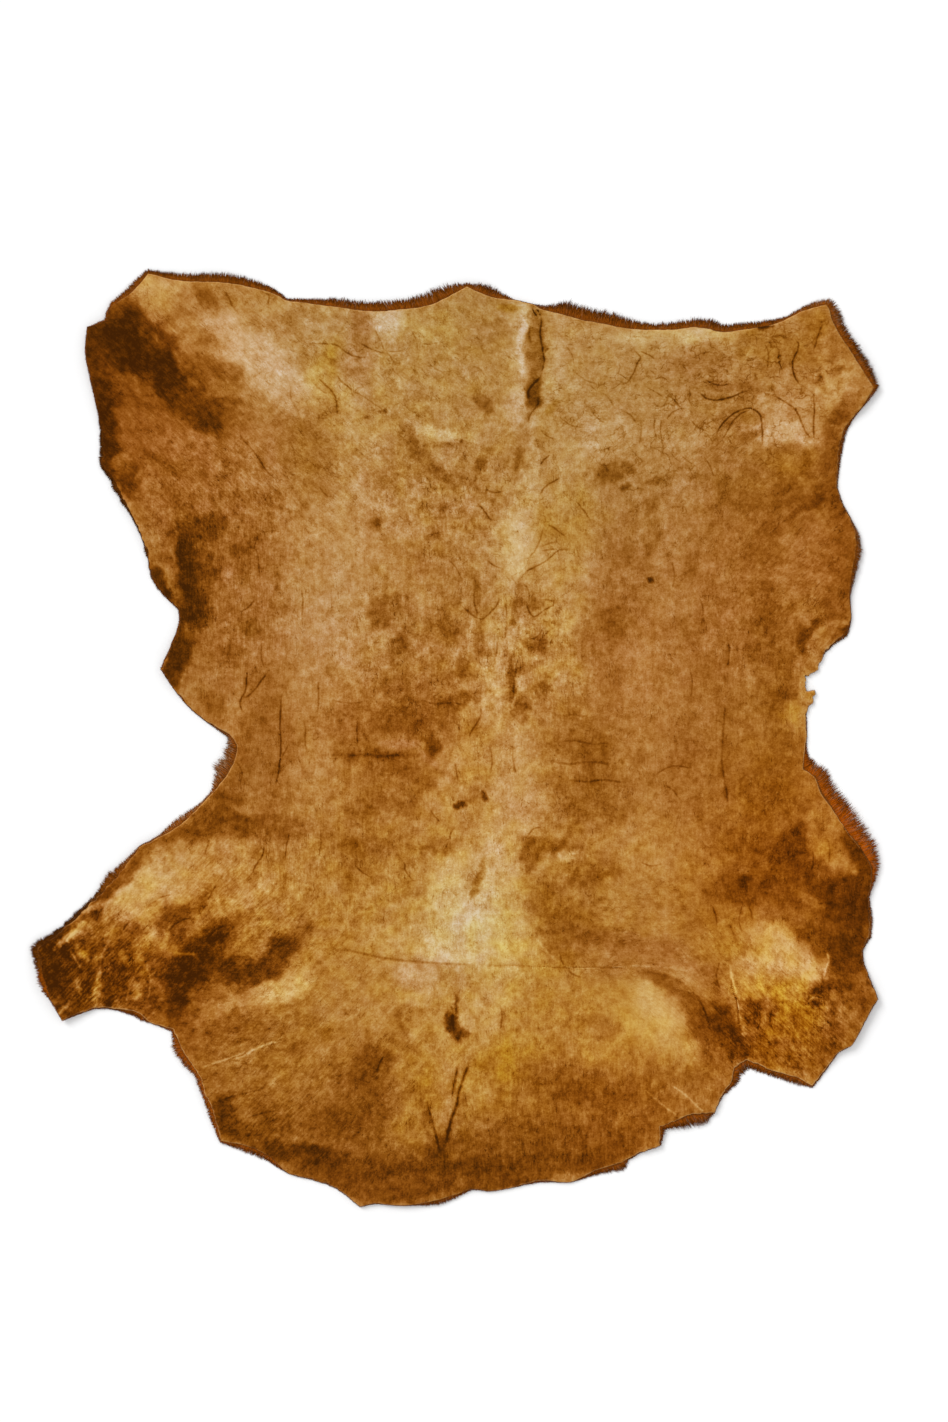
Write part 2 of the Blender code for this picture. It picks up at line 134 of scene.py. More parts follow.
# Stains by region, and in each the values of Stain in its order
STAINS = {
    "broad washes": (
        (-55, 830, 250, 170, 0, 0.61, -0.2, 0.95), (325, 760, 200, 200, 0, 0.62, -0.1, 0.95),
        (595, 760, 200, 135, 0, 0.55, 0.1, 0.9), (755, 580, 180, 110, 0, 0.45, 0.1, 0.9),
        (-665, 670, 180, 135, -30, 0.38, 0.7, 0.95), (-495, 580, 135, 100, -30, 0.5, 0.5, 0.85),
        (-485, 380, 215, 95, 90, 0.48, 0.6, 0.95), (-385, 605, 180, 70, 90, 0.55, 0.3, 0.8),
        (-250, 400, 470, 110, 90, 0.68, 0.1, 0.95), (-205, 670, 200, 75, 90, 0.68, -0.2, 0.8),
        (-350, 670, 95, 55, 80, 0.49, 0.2, 0.8), (-55, 490, 200, 115, 90, 0.59, 0, 0.9),
        (-55, 220, 200, 125, 90, 0.57, 0.1, 0.8), (-305, 155, 135, 110, 90, 0.64, 0.2, 0.8),
        (-485, 175, 160, 85, 90, 0.5, 0.6, 0.8), (-100, 20, 170, 140, 0, 0.49, 0.1, 0.85),
        (-430, -50, 160, 105, 90, 0.47, 0.5, 0.9), (-300, -160, 200, 60, 90, 0.62, 0.1, 0.85),
        (-170, -185, 160, 80, 90, 0.48, 0.1, 0.8), (-35, -230, 180, 70, 82, 0.67, -0.1, 0.85),
        (-280, -365, 160, 80, 90, 0.62, 0, 0.8), (-460, -140, 65, 40, 90, 0.55, 0.2, 0.7),
        (-575, -320, 225, 95, 25, 0.62, -0.1, 0.85), (-145, -430, 160, 110, 90, 0.62, -0.1, 0.8),
        (-280, -590, 180, 90, 10, 0.61, -0.1, 0.85), (-485, -725, 160, 125, -20, 0.44, 0.1, 0.85),
        (-325, -725, 135, 80, -30, 0.52, -0.2, 0.7), (-80, -770, 200, 80, 90, 0.6, -0.5, 0.85),
        (-80, -590, 90, 70, 0, 0.68, -0.3, 0.8), (75, -745, 270, 100, 88, 0.71, -0.3, 0.85),
        (190, -610, 110, 105, 0, 0.62, -0.2, 0.8), (325, -590, 135, 100, 0, 0.62, 0, 0.8),
        (305, -805, 225, 105, 8, 0.5, 0, 0.92), (530, -780, 110, 60, 30, 0.46, 0.1, 0.8),
        (-190, -860, 225, 90, -10, 0.4, 0.1, 0.7), (80, -925, 360, 55, 5, 0.28, 0.2, 0.85),
        (100, 85, 290, 75, 90, 0.68, -0.1, 0.85), (215, 130, 225, 60, 90, 0.61, -0.1, 0.8),
        (145, -205, 160, 70, 90, 0.78, 0, 0.85), (280, 265, 160, 80, 90, 0.67, -0.3, 0.8),
        (235, 470, 135, 110, 90, 0.71, -0.3, 0.85), (370, 265, 340, 70, 90, 0.49, 0.6, 0.85),
        (440, 605, 110, 100, 90, 0.58, 0.1, 0.6), (435, 85, 135, 65, 90, 0.61, 0.4, 0.75),
        (490, 265, 405, 35, 90, 0.56, 0.5, 0.7), (570, 220, 380, 60, 90, 0.48, 0.6, 0.85),
        (650, 290, 340, 60, 90, 0.49, 0.5, 0.85), (740, 175, 200, 60, 90, 0.44, 0.2, 0.85),
        (695, 470, 135, 75, 90, 0.46, 0.3, 0.85), (775, 400, 80, 65, 0, 0.53, 0.4, 0.75),
        (865, 400, 160, 35, 86, 0.36, 0.3, 0.8), (310, -95, 140, 110, 90, 0.45, 0.1, 0.85),
        (440, -95, 160, 90, 90, 0.5, 0.3, 0.8), (550, -50, 180, 75, 90, 0.48, 0.4, 0.8),
        (425, -295, 150, 110, 90, 0.65, 0, 0.85), (550, -340, 135, 100, 90, 0.56, 0.1, 0.8),
        (640, -140, 180, 75, 90, 0.47, 0.2, 0.8), (730, -205, 180, 90, 90, 0.4, 0.1, 0.85),
        (820, -365, 135, 105, 90, 0.22, 0.1, 0.85), (440, -500, 200, 45, 0, 0.54, 0.6, 0.7),
        (595, -475, 90, 70, 90, 0.6, -0.3, 0.7), (755, -655, 135, 75, 0, 0.42, -0.6, 0.8),
    ),
    "left shoulder": (
        (-650, 1000, 75, 35, -15, 0.78, -0.3, 0.9), (-450, 860, 150, 50, -40, 0.84, 0.3, 0.95),
        (-350, 780, 50, 28, -35, 0.72, 0.2, 0.8), (-520, 920, 70, 30, -40, 0.76, 0.3, 0.8),
        (-450, 986, 78, 28, -10, 0.62, -0.2, 0.8), (-560, 992, 38, 14, -45, 0.4, 0, 0.7),
        (-546, 890, 32, 16, -30, 0.4, 0.2, 0.6), (-574, 912, 27, 9, -45, 0.42, 0.1, 0.5),
        (-448, 930, 18, 11, 0, 0.5, 0, 0.5), (-656, 900, 44, 20, -55, 0.3, 1, 0.9),
        (-714, 946, 54, 20, -45, 0.22, 0.6, 0.85), (-575, 825, 65, 35, -20, 0.36, 0.3, 0.75),
        (-502, 818, 40, 22, -20, 0.32, 0.2, 0.7), (-765, 900, 80, 60, -30, 0.04, 0, 0.97),
        (-685, 845, 110, 45, -42, 0.02, 0, 0.97), (-646, 802, 44, 30, -48, 0, 0, 0.95),
        (-760, 875, 50, 35, -30, 0.03, 0, 0.9), (-615, 755, 75, 35, -45, 0.12, 0, 0.85),
        (-550, 730, 55, 40, -20, 0.19, 0.1, 0.9), (-560, 708, 30, 20, -20, 0.12, 0, 0.8),
        (-518, 754, 34, 14, 0, 0.22, 0.2, 0.8), (-720, 735, 110, 35, -38, 0.36, 0.5, 0.9),
        (-795, 825, 80, 30, -70, 0.15, 0.3, 0.85), (-759, 806, 45, 11, -52, 0.3, 0.6, 0.7),
        (-665, 665, 95, 45, -20, 0.44, 0.7, 0.8), (-608, 658, 64, 28, -10, 0.54, 0.9, 0.6),
        (-816, 828, 112, 14, -78, 0.1, 0.2, 0.9), (-782, 694, 94, 20, -86, 0.03, 0, 0.95),
        (-768, 594, 40, 20, -60, 0.06, 0.1, 0.9), (-750, 626, 14, 18, 90, 0.54, 0.5, 0.8),
        (-738, 586, 34, 28, -60, 0.18, 0.1, 0.85), (-654, 614, 50, 16, -20, 0.3, 0.1, 0.5),
        (-668, 510, 76, 24, -65, 0.5, 0.6, 0.75), (-624, 536, 64, 20, 0, 0.34, 0.5, 0.5),
        (-568, 512, 30, 16, 20, 0.58, 1, 0.6), (-512, 536, 32, 28, 0, 0.36, 0.4, 0.6),
    ),
    "left flank": (
        (-540, 390, 95, 50, 80, 0.38, 0.6, 0.6), (-578, 474, 54, 30, 10, 0.2, 0.1, 0.8),
        (-580, 380, 110, 45, 86, 0.24, 0.2, 0.8), (-608, 388, 90, 22, -86, 0.03, 0, 0.94),
        (-590, 300, 35, 40, 0, 0.07, 0, 0.93), (-646, 428, 64, 14, -78, 0.46, 0.7, 0.8),
        (-635, 451, 27, 9, -70, 0.26, 0.6, 0.8), (-656, 406, 18, 14, 0, 0.22, 0.2, 0.7),
        (-664, 350, 50, 16, -58, 0.06, 0.1, 0.9), (-518, 363, 45, 11, 50, 0.56, 0.8, 0.6),
        (-470, 434, 40, 28, 0, 0.38, 0.5, 0.6), (-620, 198, 94, 24, 87, 0.08, 0, 0.95),
        (-638, 158, 32, 22, 40, 0.08, 0.1, 0.95), (-600, 108, 32, 20, -50, 0.6, 0.3, 0.85),
        (-540, 74, 50, 22, -35, 0.36, 0.1, 0.7), (-498, 62, 50, 16, 82, 0.62, 0.3, 0.85),
        (-464, 248, 22, 20, 0, 0.32, 0.2, 0.7), (-496, 194, 32, 14, 0, 0.34, 0.2, 0.6),
        (-448, 30, 36, 22, 0, 0.36, 0.2, 0.6), (-416, 84, 32, 18, 0, 0.4, 0.3, 0.5),
        (-518, -138, 36, 30, 45, 0.26, 0.4, 0.8), (-488, -198, 68, 22, -8, 0.22, 0.1, 0.88),
        (-596, -224, 116, 28, 14, 0.26, 0.1, 0.9), (-422, -206, 86, 28, 0, 0.36, 0.6, 0.7),
    ),
    "left leg": (
        (-655, -320, 130, 55, 28, 0.79, 0, 0.9), (-710, -336, 58, 28, 35, 0.9, -0.3, 0.85),
        (-535, -290, 75, 30, 10, 0.66, 0, 0.8), (-435, -325, 90, 35, 10, 0.6, 0, 0.6),
        (-772, -336, 108, 14, 45, 0.22, 0.1, 0.85), (-885, -520, 60, 105, 0, 0.02, 0, 0.97),
        (-825, -535, 40, 75, 0, 0.12, -0.1, 0.92), (-755, -525, 75, 85, 0, 0.22, -0.3, 0.88),
        (-764, -556, 22, 36, 0, 0.12, -0.1, 0.8), (-704, -570, 28, 32, 0, 0.16, 0, 0.8),
        (-668, -504, 40, 22, 0, 0.22, 0.3, 0.7), (-690, -425, 40, 30, 70, 0.74, -0.3, 0.85),
        (-772, -442, 28, 58, 60, 0.4, -0.5, 0.7), (-625, -415, 35, 40, 70, 0.2, 0.3, 0.88),
        (-584, -376, 32, 18, 40, 0.34, 0.3, 0.7), (-502, -378, 100, 20, 34, 0.72, 0, 0.85),
        (-570, -431, 50, 9, 38, 0.66, -0.2, 0.85), (-600, -535, 75, 40, 72, 0, 0, 0.96),
        (-516, -516, 64, 28, -8, 0.08, 0.1, 0.9), (-540, -445, 75, 40, 30, 0.32, 0.1, 0.8),
        (-575, -485, 65, 35, 50, 0.05, 0, 0.92), (-628, -598, 44, 20, 80, 0.04, 0.1, 0.92),
        (-675, -590, 55, 45, 0, 0.2, 0.2, 0.7), (-560, -580, 40, 24, -30, 0.34, 0.3, 0.7),
        (-470, -526, 68, 24, 12, 0.16, 0.3, 0.85), (-400, -490, 85, 30, 45, 0.16, 0.5, 0.88),
        (-458, -562, 58, 16, 28, 0.22, 0.4, 0.75), (-398, -568, 86, 24, 12, 0.86, -0.1, 0.95),
        (-502, -600, 58, 18, 10, 0.66, 0.1, 0.8), (-602, -652, 30, 40, 0, 0.28, 0.5, 0.7),
        (-475, -655, 80, 30, 0, 0.38, 0.2, 0.6), (-838, -483, 20, 8, -60, 0.66, -0.6, 0.9),
        (-806, -494, 16, 7, 70, 0.58, -0.6, 0.85), (-876, -449, 32, 6, 42, 0.78, -0.3, 0.9),
        (-849, -431, 27, 6, 48, 0.8, -0.3, 0.9), (-817, -409, 22, 7, 50, 0.74, -0.3, 0.85),
        (-847, -555, 18, 6, -75, 0.66, -0.4, 0.9), (-806, -566, 40, 7, 84, 0.6, -0.5, 0.85),
        (-777, -436, 36, 7, 66, 0.64, -0.5, 0.85), (-745, -492, 20, 7, -60, 0.56, -0.6, 0.85),
        (-712, -488, 22, 11, -70, 0.6, -0.6, 0.85), (-703, -544, 27, 9, 75, 0.52, -0.5, 0.85),
        (-718, -566, 20, 7, 80, 0.58, -0.4, 0.8), (-808, -398, 14, 11, 0, 0.1, 0.2, 0.85),
        (-741, -467, 18, 11, 0, 0.16, 0, 0.8), (-788, -468, 14, 18, 0, 0.18, 0, 0.8),
        (-613, -483, 27, 4, 0, 0.6, -0.5, 0.8), (-651, -449, 32, 6, 70, 0.64, -0.4, 0.8),
        (-876, -602, 20, 4, 45, 0.8, -0.2, 0.85),
    ),
    "rump": (
        (-350, -745, 135, 75, 20, 0.5, -0.2, 0.6), (-524, -840, 30, 36, 0, 0.12, 0, 0.9),
        (-488, -882, 64, 24, -20, 0.18, 0, 0.85), (-410, -865, 70, 35, 0, 0.32, 0, 0.6),
        (-350, -934, 90, 20, -5, 0.06, 0, 0.95), (-265, -880, 55, 35, 0, 0.26, 0, 0.75),
        (-180, -730, 40, 40, 0, 0.18, 0.2, 0.8), (-236, -760, 50, 30, 0, 0.3, 0.2, 0.6),
        (-215, -830, 60, 45, 0, 0.28, 0.1, 0.65), (-195, -835, 40, 70, 0, 0.3, 0, 0.75),
        (-125, -905, 50, 40, 0, 0.42, -0.4, 0.75), (-180, -962, 136, 18, -8, 0.22, 0.1, 0.85),
        (-30, -960, 50, 30, 90, 0.16, 0, 0.85), (56, -972, 68, 20, 0, 0.17, 0, 0.85),
        (214, -962, 122, 24, 5, 0.24, 0, 0.88), (340, -940, 76, 22, 18, 0.26, 0.1, 0.85),
        (-70, -780, 105, 45, 90, 0.56, -0.7, 0.75), (-110, -868, 44, 30, 45, 0.58, -0.7, 0.75),
        (-10, -725, 70, 40, 90, 0.66, -0.2, 0.65), (46, -832, 58, 30, 80, 0.58, -0.2, 0.6),
        (-57, -870, 50, 11, -75, 0.22, -0.1, 0.75), (34, -926, 44, 16, 30, 0.44, -0.3, 0.6),
        (-236, -984, 166, 28, -14, 0.29, 0.4, 0.95), (-80, -976, 202, 20, 4, 0.18, 0.2, 0.85),
        (-136, -1014, 158, 28, 3, 0.29, 0.4, 0.95), (78, -1002, 100, 16, 5, 0.22, 0.3, 0.88),
        (280, -785, 135, 60, 0, 0.42, 0.2, 0.7), (340, -814, 58, 22, 0, 0.28, 0.2, 0.6),
        (145, -875, 80, 40, 0, 0.38, 0.1, 0.6), (-100, -650, 45, 50, 90, 0.4, -0.1, 0.6),
        (-90, -616, 34, 16, 0, 0.36, 0, 0.5), (110, -730, 75, 50, 0, 0.57, -0.5, 0.6),
    ),
    "loin": (
        (30, -420, 115, 85, 90, 0.92, 0.2, 0.95), (-70, -465, 90, 75, 0, 0.78, -0.1, 0.85),
        (110, -445, 105, 70, 90, 0.84, -0.3, 0.85), (30, -320, 75, 50, 85, 0.8, 0.1, 0.85),
        (80, -252, 72, 20, 70, 0.85, 0.1, 0.85), (-25, -320, 100, 40, 80, 0.8, -0.2, 0.85),
        (-60, -535, 75, 35, 0, 0.7, 0.8, 0.75), (38, -540, 32, 20, 90, 0.56, -0.2, 0.75),
        (-8, -548, 30, 28, 0, 0.48, 0.1, 0.7), (74, -612, 80, 24, 90, 0.68, -0.1, 0.7),
        (24, -638, 28, 18, 90, 0.76, 0.1, 0.85), (235, -375, 90, 40, -10, 0.37, -0.1, 0.75),
        (270, -445, 80, 40, 0, 0.38, 0, 0.8), (258, -494, 58, 16, -8, 0.44, 0, 0.7),
        (182, -476, 36, 9, -55, 0.76, -0.2, 0.8), (375, -365, 100, 60, 0, 0.58, 0, 0.6),
        (406, -468, 112, 20, -3, 0.5, 1, 0.75), (528, -516, 76, 18, -12, 0.54, 0.9, 0.7),
        (440, -620, 80, 70, 0, 0.82, -0.3, 0.95), (495, -690, 70, 40, -30, 0.74, -0.2, 0.88),
        (355, -705, 75, 30, 0, 0.66, -0.3, 0.8), (380, -590, 55, 40, 0, 0.66, -0.2, 0.8),
        (524, -616, 76, 24, -52, 0.34, 0.3, 0.8), (564, -638, 50, 28, -60, 0.26, 0.2, 0.8),
        (488, -558, 58, 14, -32, 0.46, 0.6, 0.7), (550, -540, 58, 20, -10, 0.62, 0.2, 0.7),
        (606, -648, 64, 28, -72, 0.12, 0.1, 0.92), (634, -692, 32, 24, 60, 0.16, 0.1, 0.85),
        (582, -702, 40, 30, 90, 0.32, 0.2, 0.7), (325, -655, 30, 45, 90, 0.38, 0.1, 0.6),
    ),
    "right leg": (
        (720, -485, 80, 60, -35, 0.92, 0.1, 0.95), (670, -465, 50, 35, 60, 0.76, -0.1, 0.85),
        (780, -525, 65, 35, -25, 0.86, 0, 0.88), (690, -555, 80, 35, 0, 0.72, -0.3, 0.85),
        (624, -476, 94, 28, 78, 0.58, -0.2, 0.8), (745, -595, 95, 35, 0, 0.57, -0.6, 0.85),
        (629, -589, 63, 11, -72, 0.68, -0.2, 0.8), (834, -512, 27, 7, 75, 0.76, 0.3, 0.95),
        (890, -375, 110, 50, 90, 0.12, 0.3, 0.92), (880, -495, 50, 45, 90, 0.16, 0.2, 0.85),
        (900, -595, 45, 40, 90, 0.24, 0.5, 0.75), (856, -556, 50, 16, 0, 0.18, 0.3, 0.85),
        (860, -655, 75, 35, 70, 0.3, 0.4, 0.8), (928, -630, 36, 16, 60, 0.44, 0, 0.6),
        (666, -616, 30, 16, 90, 0.2, 0.3, 0.75), (702, -606, 20, 18, 0, 0.22, 0.3, 0.7),
        (650, -694, 32, 22, 60, 0.16, 0.3, 0.8), (690, -678, 44, 16, -10, 0.26, 0.1, 0.7),
        (758, -692, 72, 30, 0, 0.36, -0.2, 0.7), (736, -728, 90, 16, -16, 0.34, -0.2, 0.7),
        (812, -569, 27, 7, 8, 0.08, 0.3, 0.97), (791, -587, 6, 14, 0, 0.24, 0.3, 0.9),
        (814, -587, 16, 9, 0, 0.6, 0.1, 0.9), (809, -598, 12, 8, 0, 0.08, 0.3, 0.97),
        (839, -591, 7, 16, 0, 0.52, 0.1, 0.85), (848, -607, 7, 20, 20, 0.26, 0.2, 0.8),
    ),
    "right thigh": (
        (835, -220, 70, 40, 65, 0.54, -0.2, 0.85), (870, -278, 36, 30, 0, 0.46, -0.1, 0.75),
        (776, -278, 76, 24, 88, 0.22, 0.2, 0.82), (720, -288, 80, 28, 0, 0.3, 0.2, 0.75),
        (652, -324, 58, 30, 0, 0.3, 0.2, 0.8), (690, -240, 90, 30, 0, 0.34, 0.1, 0.7),
        (916, -264, 64, 20, -58, 0.16, 0, 0.9), (696, -348, 112, 28, 0, 0.3, 0.3, 0.85),
        (744, -400, 80, 16, -14, 0.46, 0.4, 0.7), (704, -118, 22, 18, 90, 0.28, 0.1, 0.7),
    ),
    "right flank": (
        (445, 85, 110, 60, 0, 0.57, 0.3, 0.6), (472, -30, 72, 30, 0, 0.46, 1, 0.6),
        (400, -30, 110, 60, 0, 0.44, 0.1, 0.5), (730, 105, 90, 30, 100, 0.34, 0, 0.65),
        (695, 220, 70, 40, 90, 0.37, 0.1, 0.6), (710, 295, 45, 30, 90, 0.34, 0.1, 0.6),
        (803, 248, 50, 11, 42, 0.18, 0.1, 0.85), (778, 203, 20, 9, 80, 0.18, 0.1, 0.85),
        (764, 52, 32, 28, 90, 0.64, -0.5, 0.85), (782, 82, 68, 9, 89, 0.68, 0, 0.85),
        (802, 98, 16, 14, 0, 0.66, -0.4, 0.95), (668, 82, 76, 9, 103, 0.56, 0.2, 0.7),
        (865, 395, 135, 30, 86, 0.33, 0.4, 0.7), (805, 410, 70, 45, 90, 0.47, 0.6, 0.7),
        (881, 244, 22, 11, 50, 0.1, 0.1, 0.9),
    ),
    "right shoulder": (
        (742, 690, 76, 30, 2, 0.86, 0.3, 0.97), (776, 756, 54, 18, 0, 0.66, 0.3, 0.8),
        (802, 734, 64, 18, 85, 0.68, 0.1, 0.7), (856, 792, 54, 30, 60, 0.74, -0.2, 0.85),
        (755, 718, 27, 9, 5, 0.5, 0.1, 0.75), (854, 824, 20, 9, 30, 0.38, 0.1, 0.8),
        (528, 908, 140, 18, 3, 0.82, -0.3, 0.92), (450, 882, 68, 18, 0, 0.72, -0.2, 0.75),
        (720, 885, 105, 45, 0, 0.49, -0.4, 0.75), (810, 930, 30, 35, 0, 0.45, -0.6, 0.7),
        (690, 925, 22, 4, 4, 0.02, 0.2, 0.97), (550, 840, 70, 35, 0, 0.5, 0.6, 0.65),
        (609, 795, 54, 11, -6, 0.34, 0.2, 0.7), (622, 720, 64, 20, 52, 0.42, 0.2, 0.7),
        (654, 673, 40, 9, 22, 0.34, 0.2, 0.75), (528, 680, 112, 20, 0, 0.66, 0, 0.75),
        (654, 635, 27, 11, 60, 0.68, 0.3, 0.75), (389, 671, 36, 9, 5, 0.42, 0.1, 0.6),
        (358, 596, 40, 20, 8, 0.28, 0.2, 0.85), (386, 565, 18, 7, 30, 0.2, 0.1, 0.8),
        (449, 577, 32, 7, 10, 0.3, 0.2, 0.7), (528, 590, 20, 9, 20, 0.36, 0.2, 0.6),
        (720, 575, 135, 30, 5, 0.42, -0.3, 0.7), (708, 536, 112, 20, 5, 0.32, 0.1, 0.7),
        (766, 624, 80, 24, 0, 0.48, -0.5, 0.7), (844, 662, 54, 24, 98, 0.32, 0.4, 0.8),
        (880, 738, 44, 24, 48, 0.26, 0.4, 0.85), (848, 568, 76, 22, 92, 0.28, 0.4, 0.75),
        (809, 536, 68, 9, 36, 0.22, 0.3, 0.75), (708, 446, 72, 24, 85, 0.34, 0.2, 0.6),
        (676, 388, 54, 18, 90, 0.34, 0.2, 0.55),
    ),
    "neck": (
        (-156, 930, 42, 28, 0, 0.86, 0.2, 0.92), (-214, 928, 28, 28, 0, 0.44, 0.8, 0.7),
        (-220, 845, 75, 35, 90, 0.57, 0.8, 0.7), (-294, 816, 72, 30, 85, 0.58, -1, 0.65),
        (-35, 920, 75, 35, 0, 0.64, -0.5, 0.6), (60, 916, 28, 28, 0, 0.5, 0.1, 0.6),
        (34, 952, 32, 18, -30, 0.52, -0.2, 0.6), (119, 968, 22, 7, 0, 0.54, -1, 0.7),
        (64, 752, 22, 16, -20, 0.34, 0.2, 0.85), (142, 884, 94, 16, 90, 0.76, -0.1, 0.7),
        (150, 892, 76, 8, 90, 0.88, 0.2, 0.95), (159, 959, 20, 11, 0, 0.8, -0.1, 0.8),
        (132, 738, 40, 22, 85, 0.78, 0.2, 0.8), (220, 846, 100, 18, 88, 0.72, -0.1, 0.75),
        (326, 918, 90, 20, -8, 0.76, -0.2, 0.8), (180, 884, 80, 14, 91, 0.47, -0.1, 0.85),
        (193, 874, 54, 5, 88, 0.3, 0, 0.7), (182, 833, 20, 11, 90, 0.56, 0.1, 0.8),
        (172, 790, 22, 14, 70, 0.32, 0.1, 0.85), (166, 770, 9, 9, 0, 0.14, 0.2, 0.9),
        (184, 754, 14, 8, 90, 0.3, 0.1, 0.8), (170, 727, 18, 7, 60, 0.4, 0.1, 0.75),
        (220, 743, 22, 9, 60, 0.44, -0.6, 0.7),
    ),
    "withers": (
        (-34, 684, 68, 14, -10, 0.78, -0.3, 0.9), (-19, 658, 29, 7, 10, 0.36, 0, 0.8),
        (-110, 680, 22, 20, -60, 0.38, 0.1, 0.75), (-56, 618, 68, 18, -42, 0.34, 0.2, 0.75),
        (-92, 600, 32, 16, 0, 0.4, 0.1, 0.6), (54, 612, 18, 16, 60, 0.26, 0.2, 0.88),
        (143, 631, 29, 8, 88, 0.34, 0.1, 0.8), (173, 644, 76, 11, 86, 0.74, -0.1, 0.8),
        (166, 550, 58, 16, 88, 0.74, -0.2, 0.8), (130, 435, 65, 45, 88, 0.84, -0.2, 0.95),
        (101, 446, 7, 54, 0, 0.6, -0.1, 0.6), (-180, 494, 24, 16, 60, 0.4, 0.2, 0.6),
        (-172, 482, 16, 11, 70, 0.08, 0.2, 0.95), (-158, 734, 9, 4, 5, 0.2, 0.1, 0.9),
        (-199, 723, 9, 4, 0, 0.3, 0.1, 0.8), (-28, 518, 14, 9, 90, 0.3, 0.1, 0.8),
        (-57, 453, 18, 7, 20, 0.34, 0.1, 0.75), (-66, 523, 18, 9, 10, 0.4, 0.1, 0.6),
        (-109, 316, 6, 6, 0, 0.22, 0.1, 0.85), (13, 669, 4, 4, 0, 0.08, 0.1, 0.9),
        (-320, 635, 110, 55, 85, 0.48, -0.1, 0.8), (-412, 638, 80, 14, 82, 0.6, 0.7, 0.6),
        (-190, 535, 110, 60, 90, 0.63, 0.3, 0.5), (325, 695, 70, 45, 0, 0.68, 0.1, 0.65),
        (301, 658, 22, 9, 0, 0.78, 0.1, 0.75), (265, 490, 70, 60, 0, 0.55, -0.6, 0.6),
        (438, 524, 18, 18, 0, 0.34, 0.2, 0.6), (438, 446, 20, 54, 0, 0.38, 0.4, 0.5),
        (382, 412, 22, 32, 0, 0.36, 0.4, 0.5), (438, 356, 9, 6, -20, 0.04, 0.2, 0.97),
    ),
    "back": (
        (82, 114, 72, 16, 87, 0.78, -0.3, 0.93), (94, 266, 76, 22, 90, 0.66, -0.2, 0.75),
        (100, 188, 44, 22, 90, 0.68, -0.1, 0.75), (45, -30, 70, 40, 90, 0.62, -0.4, 0.7),
        (135, -70, 90, 35, 85, 0.74, 0.1, 0.8), (172, -156, 80, 30, -8, 0.7, 0.4, 0.85),
        (125, 131, 58, 8, 88, 0.34, 0, 0.88), (146, 68, 30, 18, 80, 0.32, 0, 0.82),
        (137, 280, 25, 11, 70, 0.42, 0, 0.75), (182, 210, 24, 20, 0, 0.32, 0.1, 0.82),
        (164, 163, 32, 9, 25, 0.36, 0.1, 0.8), (196, 108, 18, 16, 45, 0.34, 0.1, 0.8),
        (164, 300, 32, 16, 20, 0.44, 0, 0.7), (112, 208, 20, 6, 88, 0.36, 0.1, 0.85),
        (240, 244, 36, 14, 25, 0.7, -0.5, 0.75), (204, 150, 30, 16, 0, 0.68, -0.3, 0.7),
        (236, 334, 30, 20, 0, 0.68, -0.3, 0.6), (-156, 286, 40, 28, 45, 0.34, 0.2, 0.8),
        (-120, 218, 40, 18, 65, 0.32, 0.2, 0.75), (-12, 262, 44, 30, 80, 0.34, 0.1, 0.75),
        (56, 216, 44, 16, 88, 0.34, 0.1, 0.75), (34, 306, 32, 14, 80, 0.42, 0.1, 0.65),
        (-125, 110, 60, 35, 0, 0.4, 0.2, 0.65), (-120, 50, 80, 35, 0, 0.32, 0.2, 0.78),
        (10, 82, 68, 16, 14, 0.34, 0.1, 0.82), (16, 154, 28, 16, 85, 0.34, 0.1, 0.75),
        (-52, -18, 30, 16, 85, 0.2, 0.1, 0.9), (-165, -40, 104, 10, 2, 0.3, 0.2, 0.82),
        (-195, -5, 70, 40, 0, 0.42, 0.2, 0.5), (-98, -84, 50, 24, -30, 0.36, 0.1, 0.7),
        (-120, -13, 45, 11, 0, 0.58, 1, 0.75), (-55, -49, 34, 8, -42, 0.62, 0.8, 0.75),
        (-250, 35, 65, 35, 0, 0.44, 0.6, 0.55), (-165, -165, 75, 35, 0, 0.38, 0.2, 0.65),
        (-188, -232, 100, 28, 0, 0.36, 0.1, 0.68), (-248, -278, 68, 22, 88, 0.38, 0, 0.6),
        (-32, -240, 44, 18, 10, 0.38, 0, 0.65), (-122, -288, 28, 14, 90, 0.38, 0, 0.65),
        (-68, -192, 44, 22, 0, 0.64, 0, 0.65), (-156, -288, 34, 22, 0, 0.6, -0.1, 0.6),
        (305, -20, 80, 50, 0, 0.4, 0, 0.7), (320, -75, 70, 45, 0, 0.4, 0.1, 0.65),
        (415, -40, 70, 60, 90, 0.6, 0.2, 0.7), (355, 260, 30, 30, 0, 0.34, 0.3, 0.75),
        (315, 210, 35, 45, 80, 0.42, 0.6, 0.5), (325, -165, 90, 35, 0, 0.4, 0.1, 0.6),
        (170, -264, 34, 22, 70, 0.3, 0, 0.8), (214, -238, 58, 14, -5, 0.36, 0, 0.75),
        (330, -280, 85, 35, 0, 0.42, 0, 0.6), (304, -318, 58, 18, 15, 0.32, 0, 0.7),
        (258, -263, 32, 9, 0, 0.68, 0.1, 0.8), (8, -152, 16, 7, 15, 0.1, 0.2, 0.96),
        (38, -137, 18, 4, 15, 0.42, 0.1, 0.8), (65, -132, 16, 4, -62, 0.14, 0.1, 0.93),
        (49, -319, 50, 8, 72, 0.44, -0.1, 0.75),
    ),
    "touches": (
        (-30, -475, 50, 35, 0, 0.98, 0, 0.55), (252, -262, 20, 14, 0, 0.92, 0.3, 0.7),
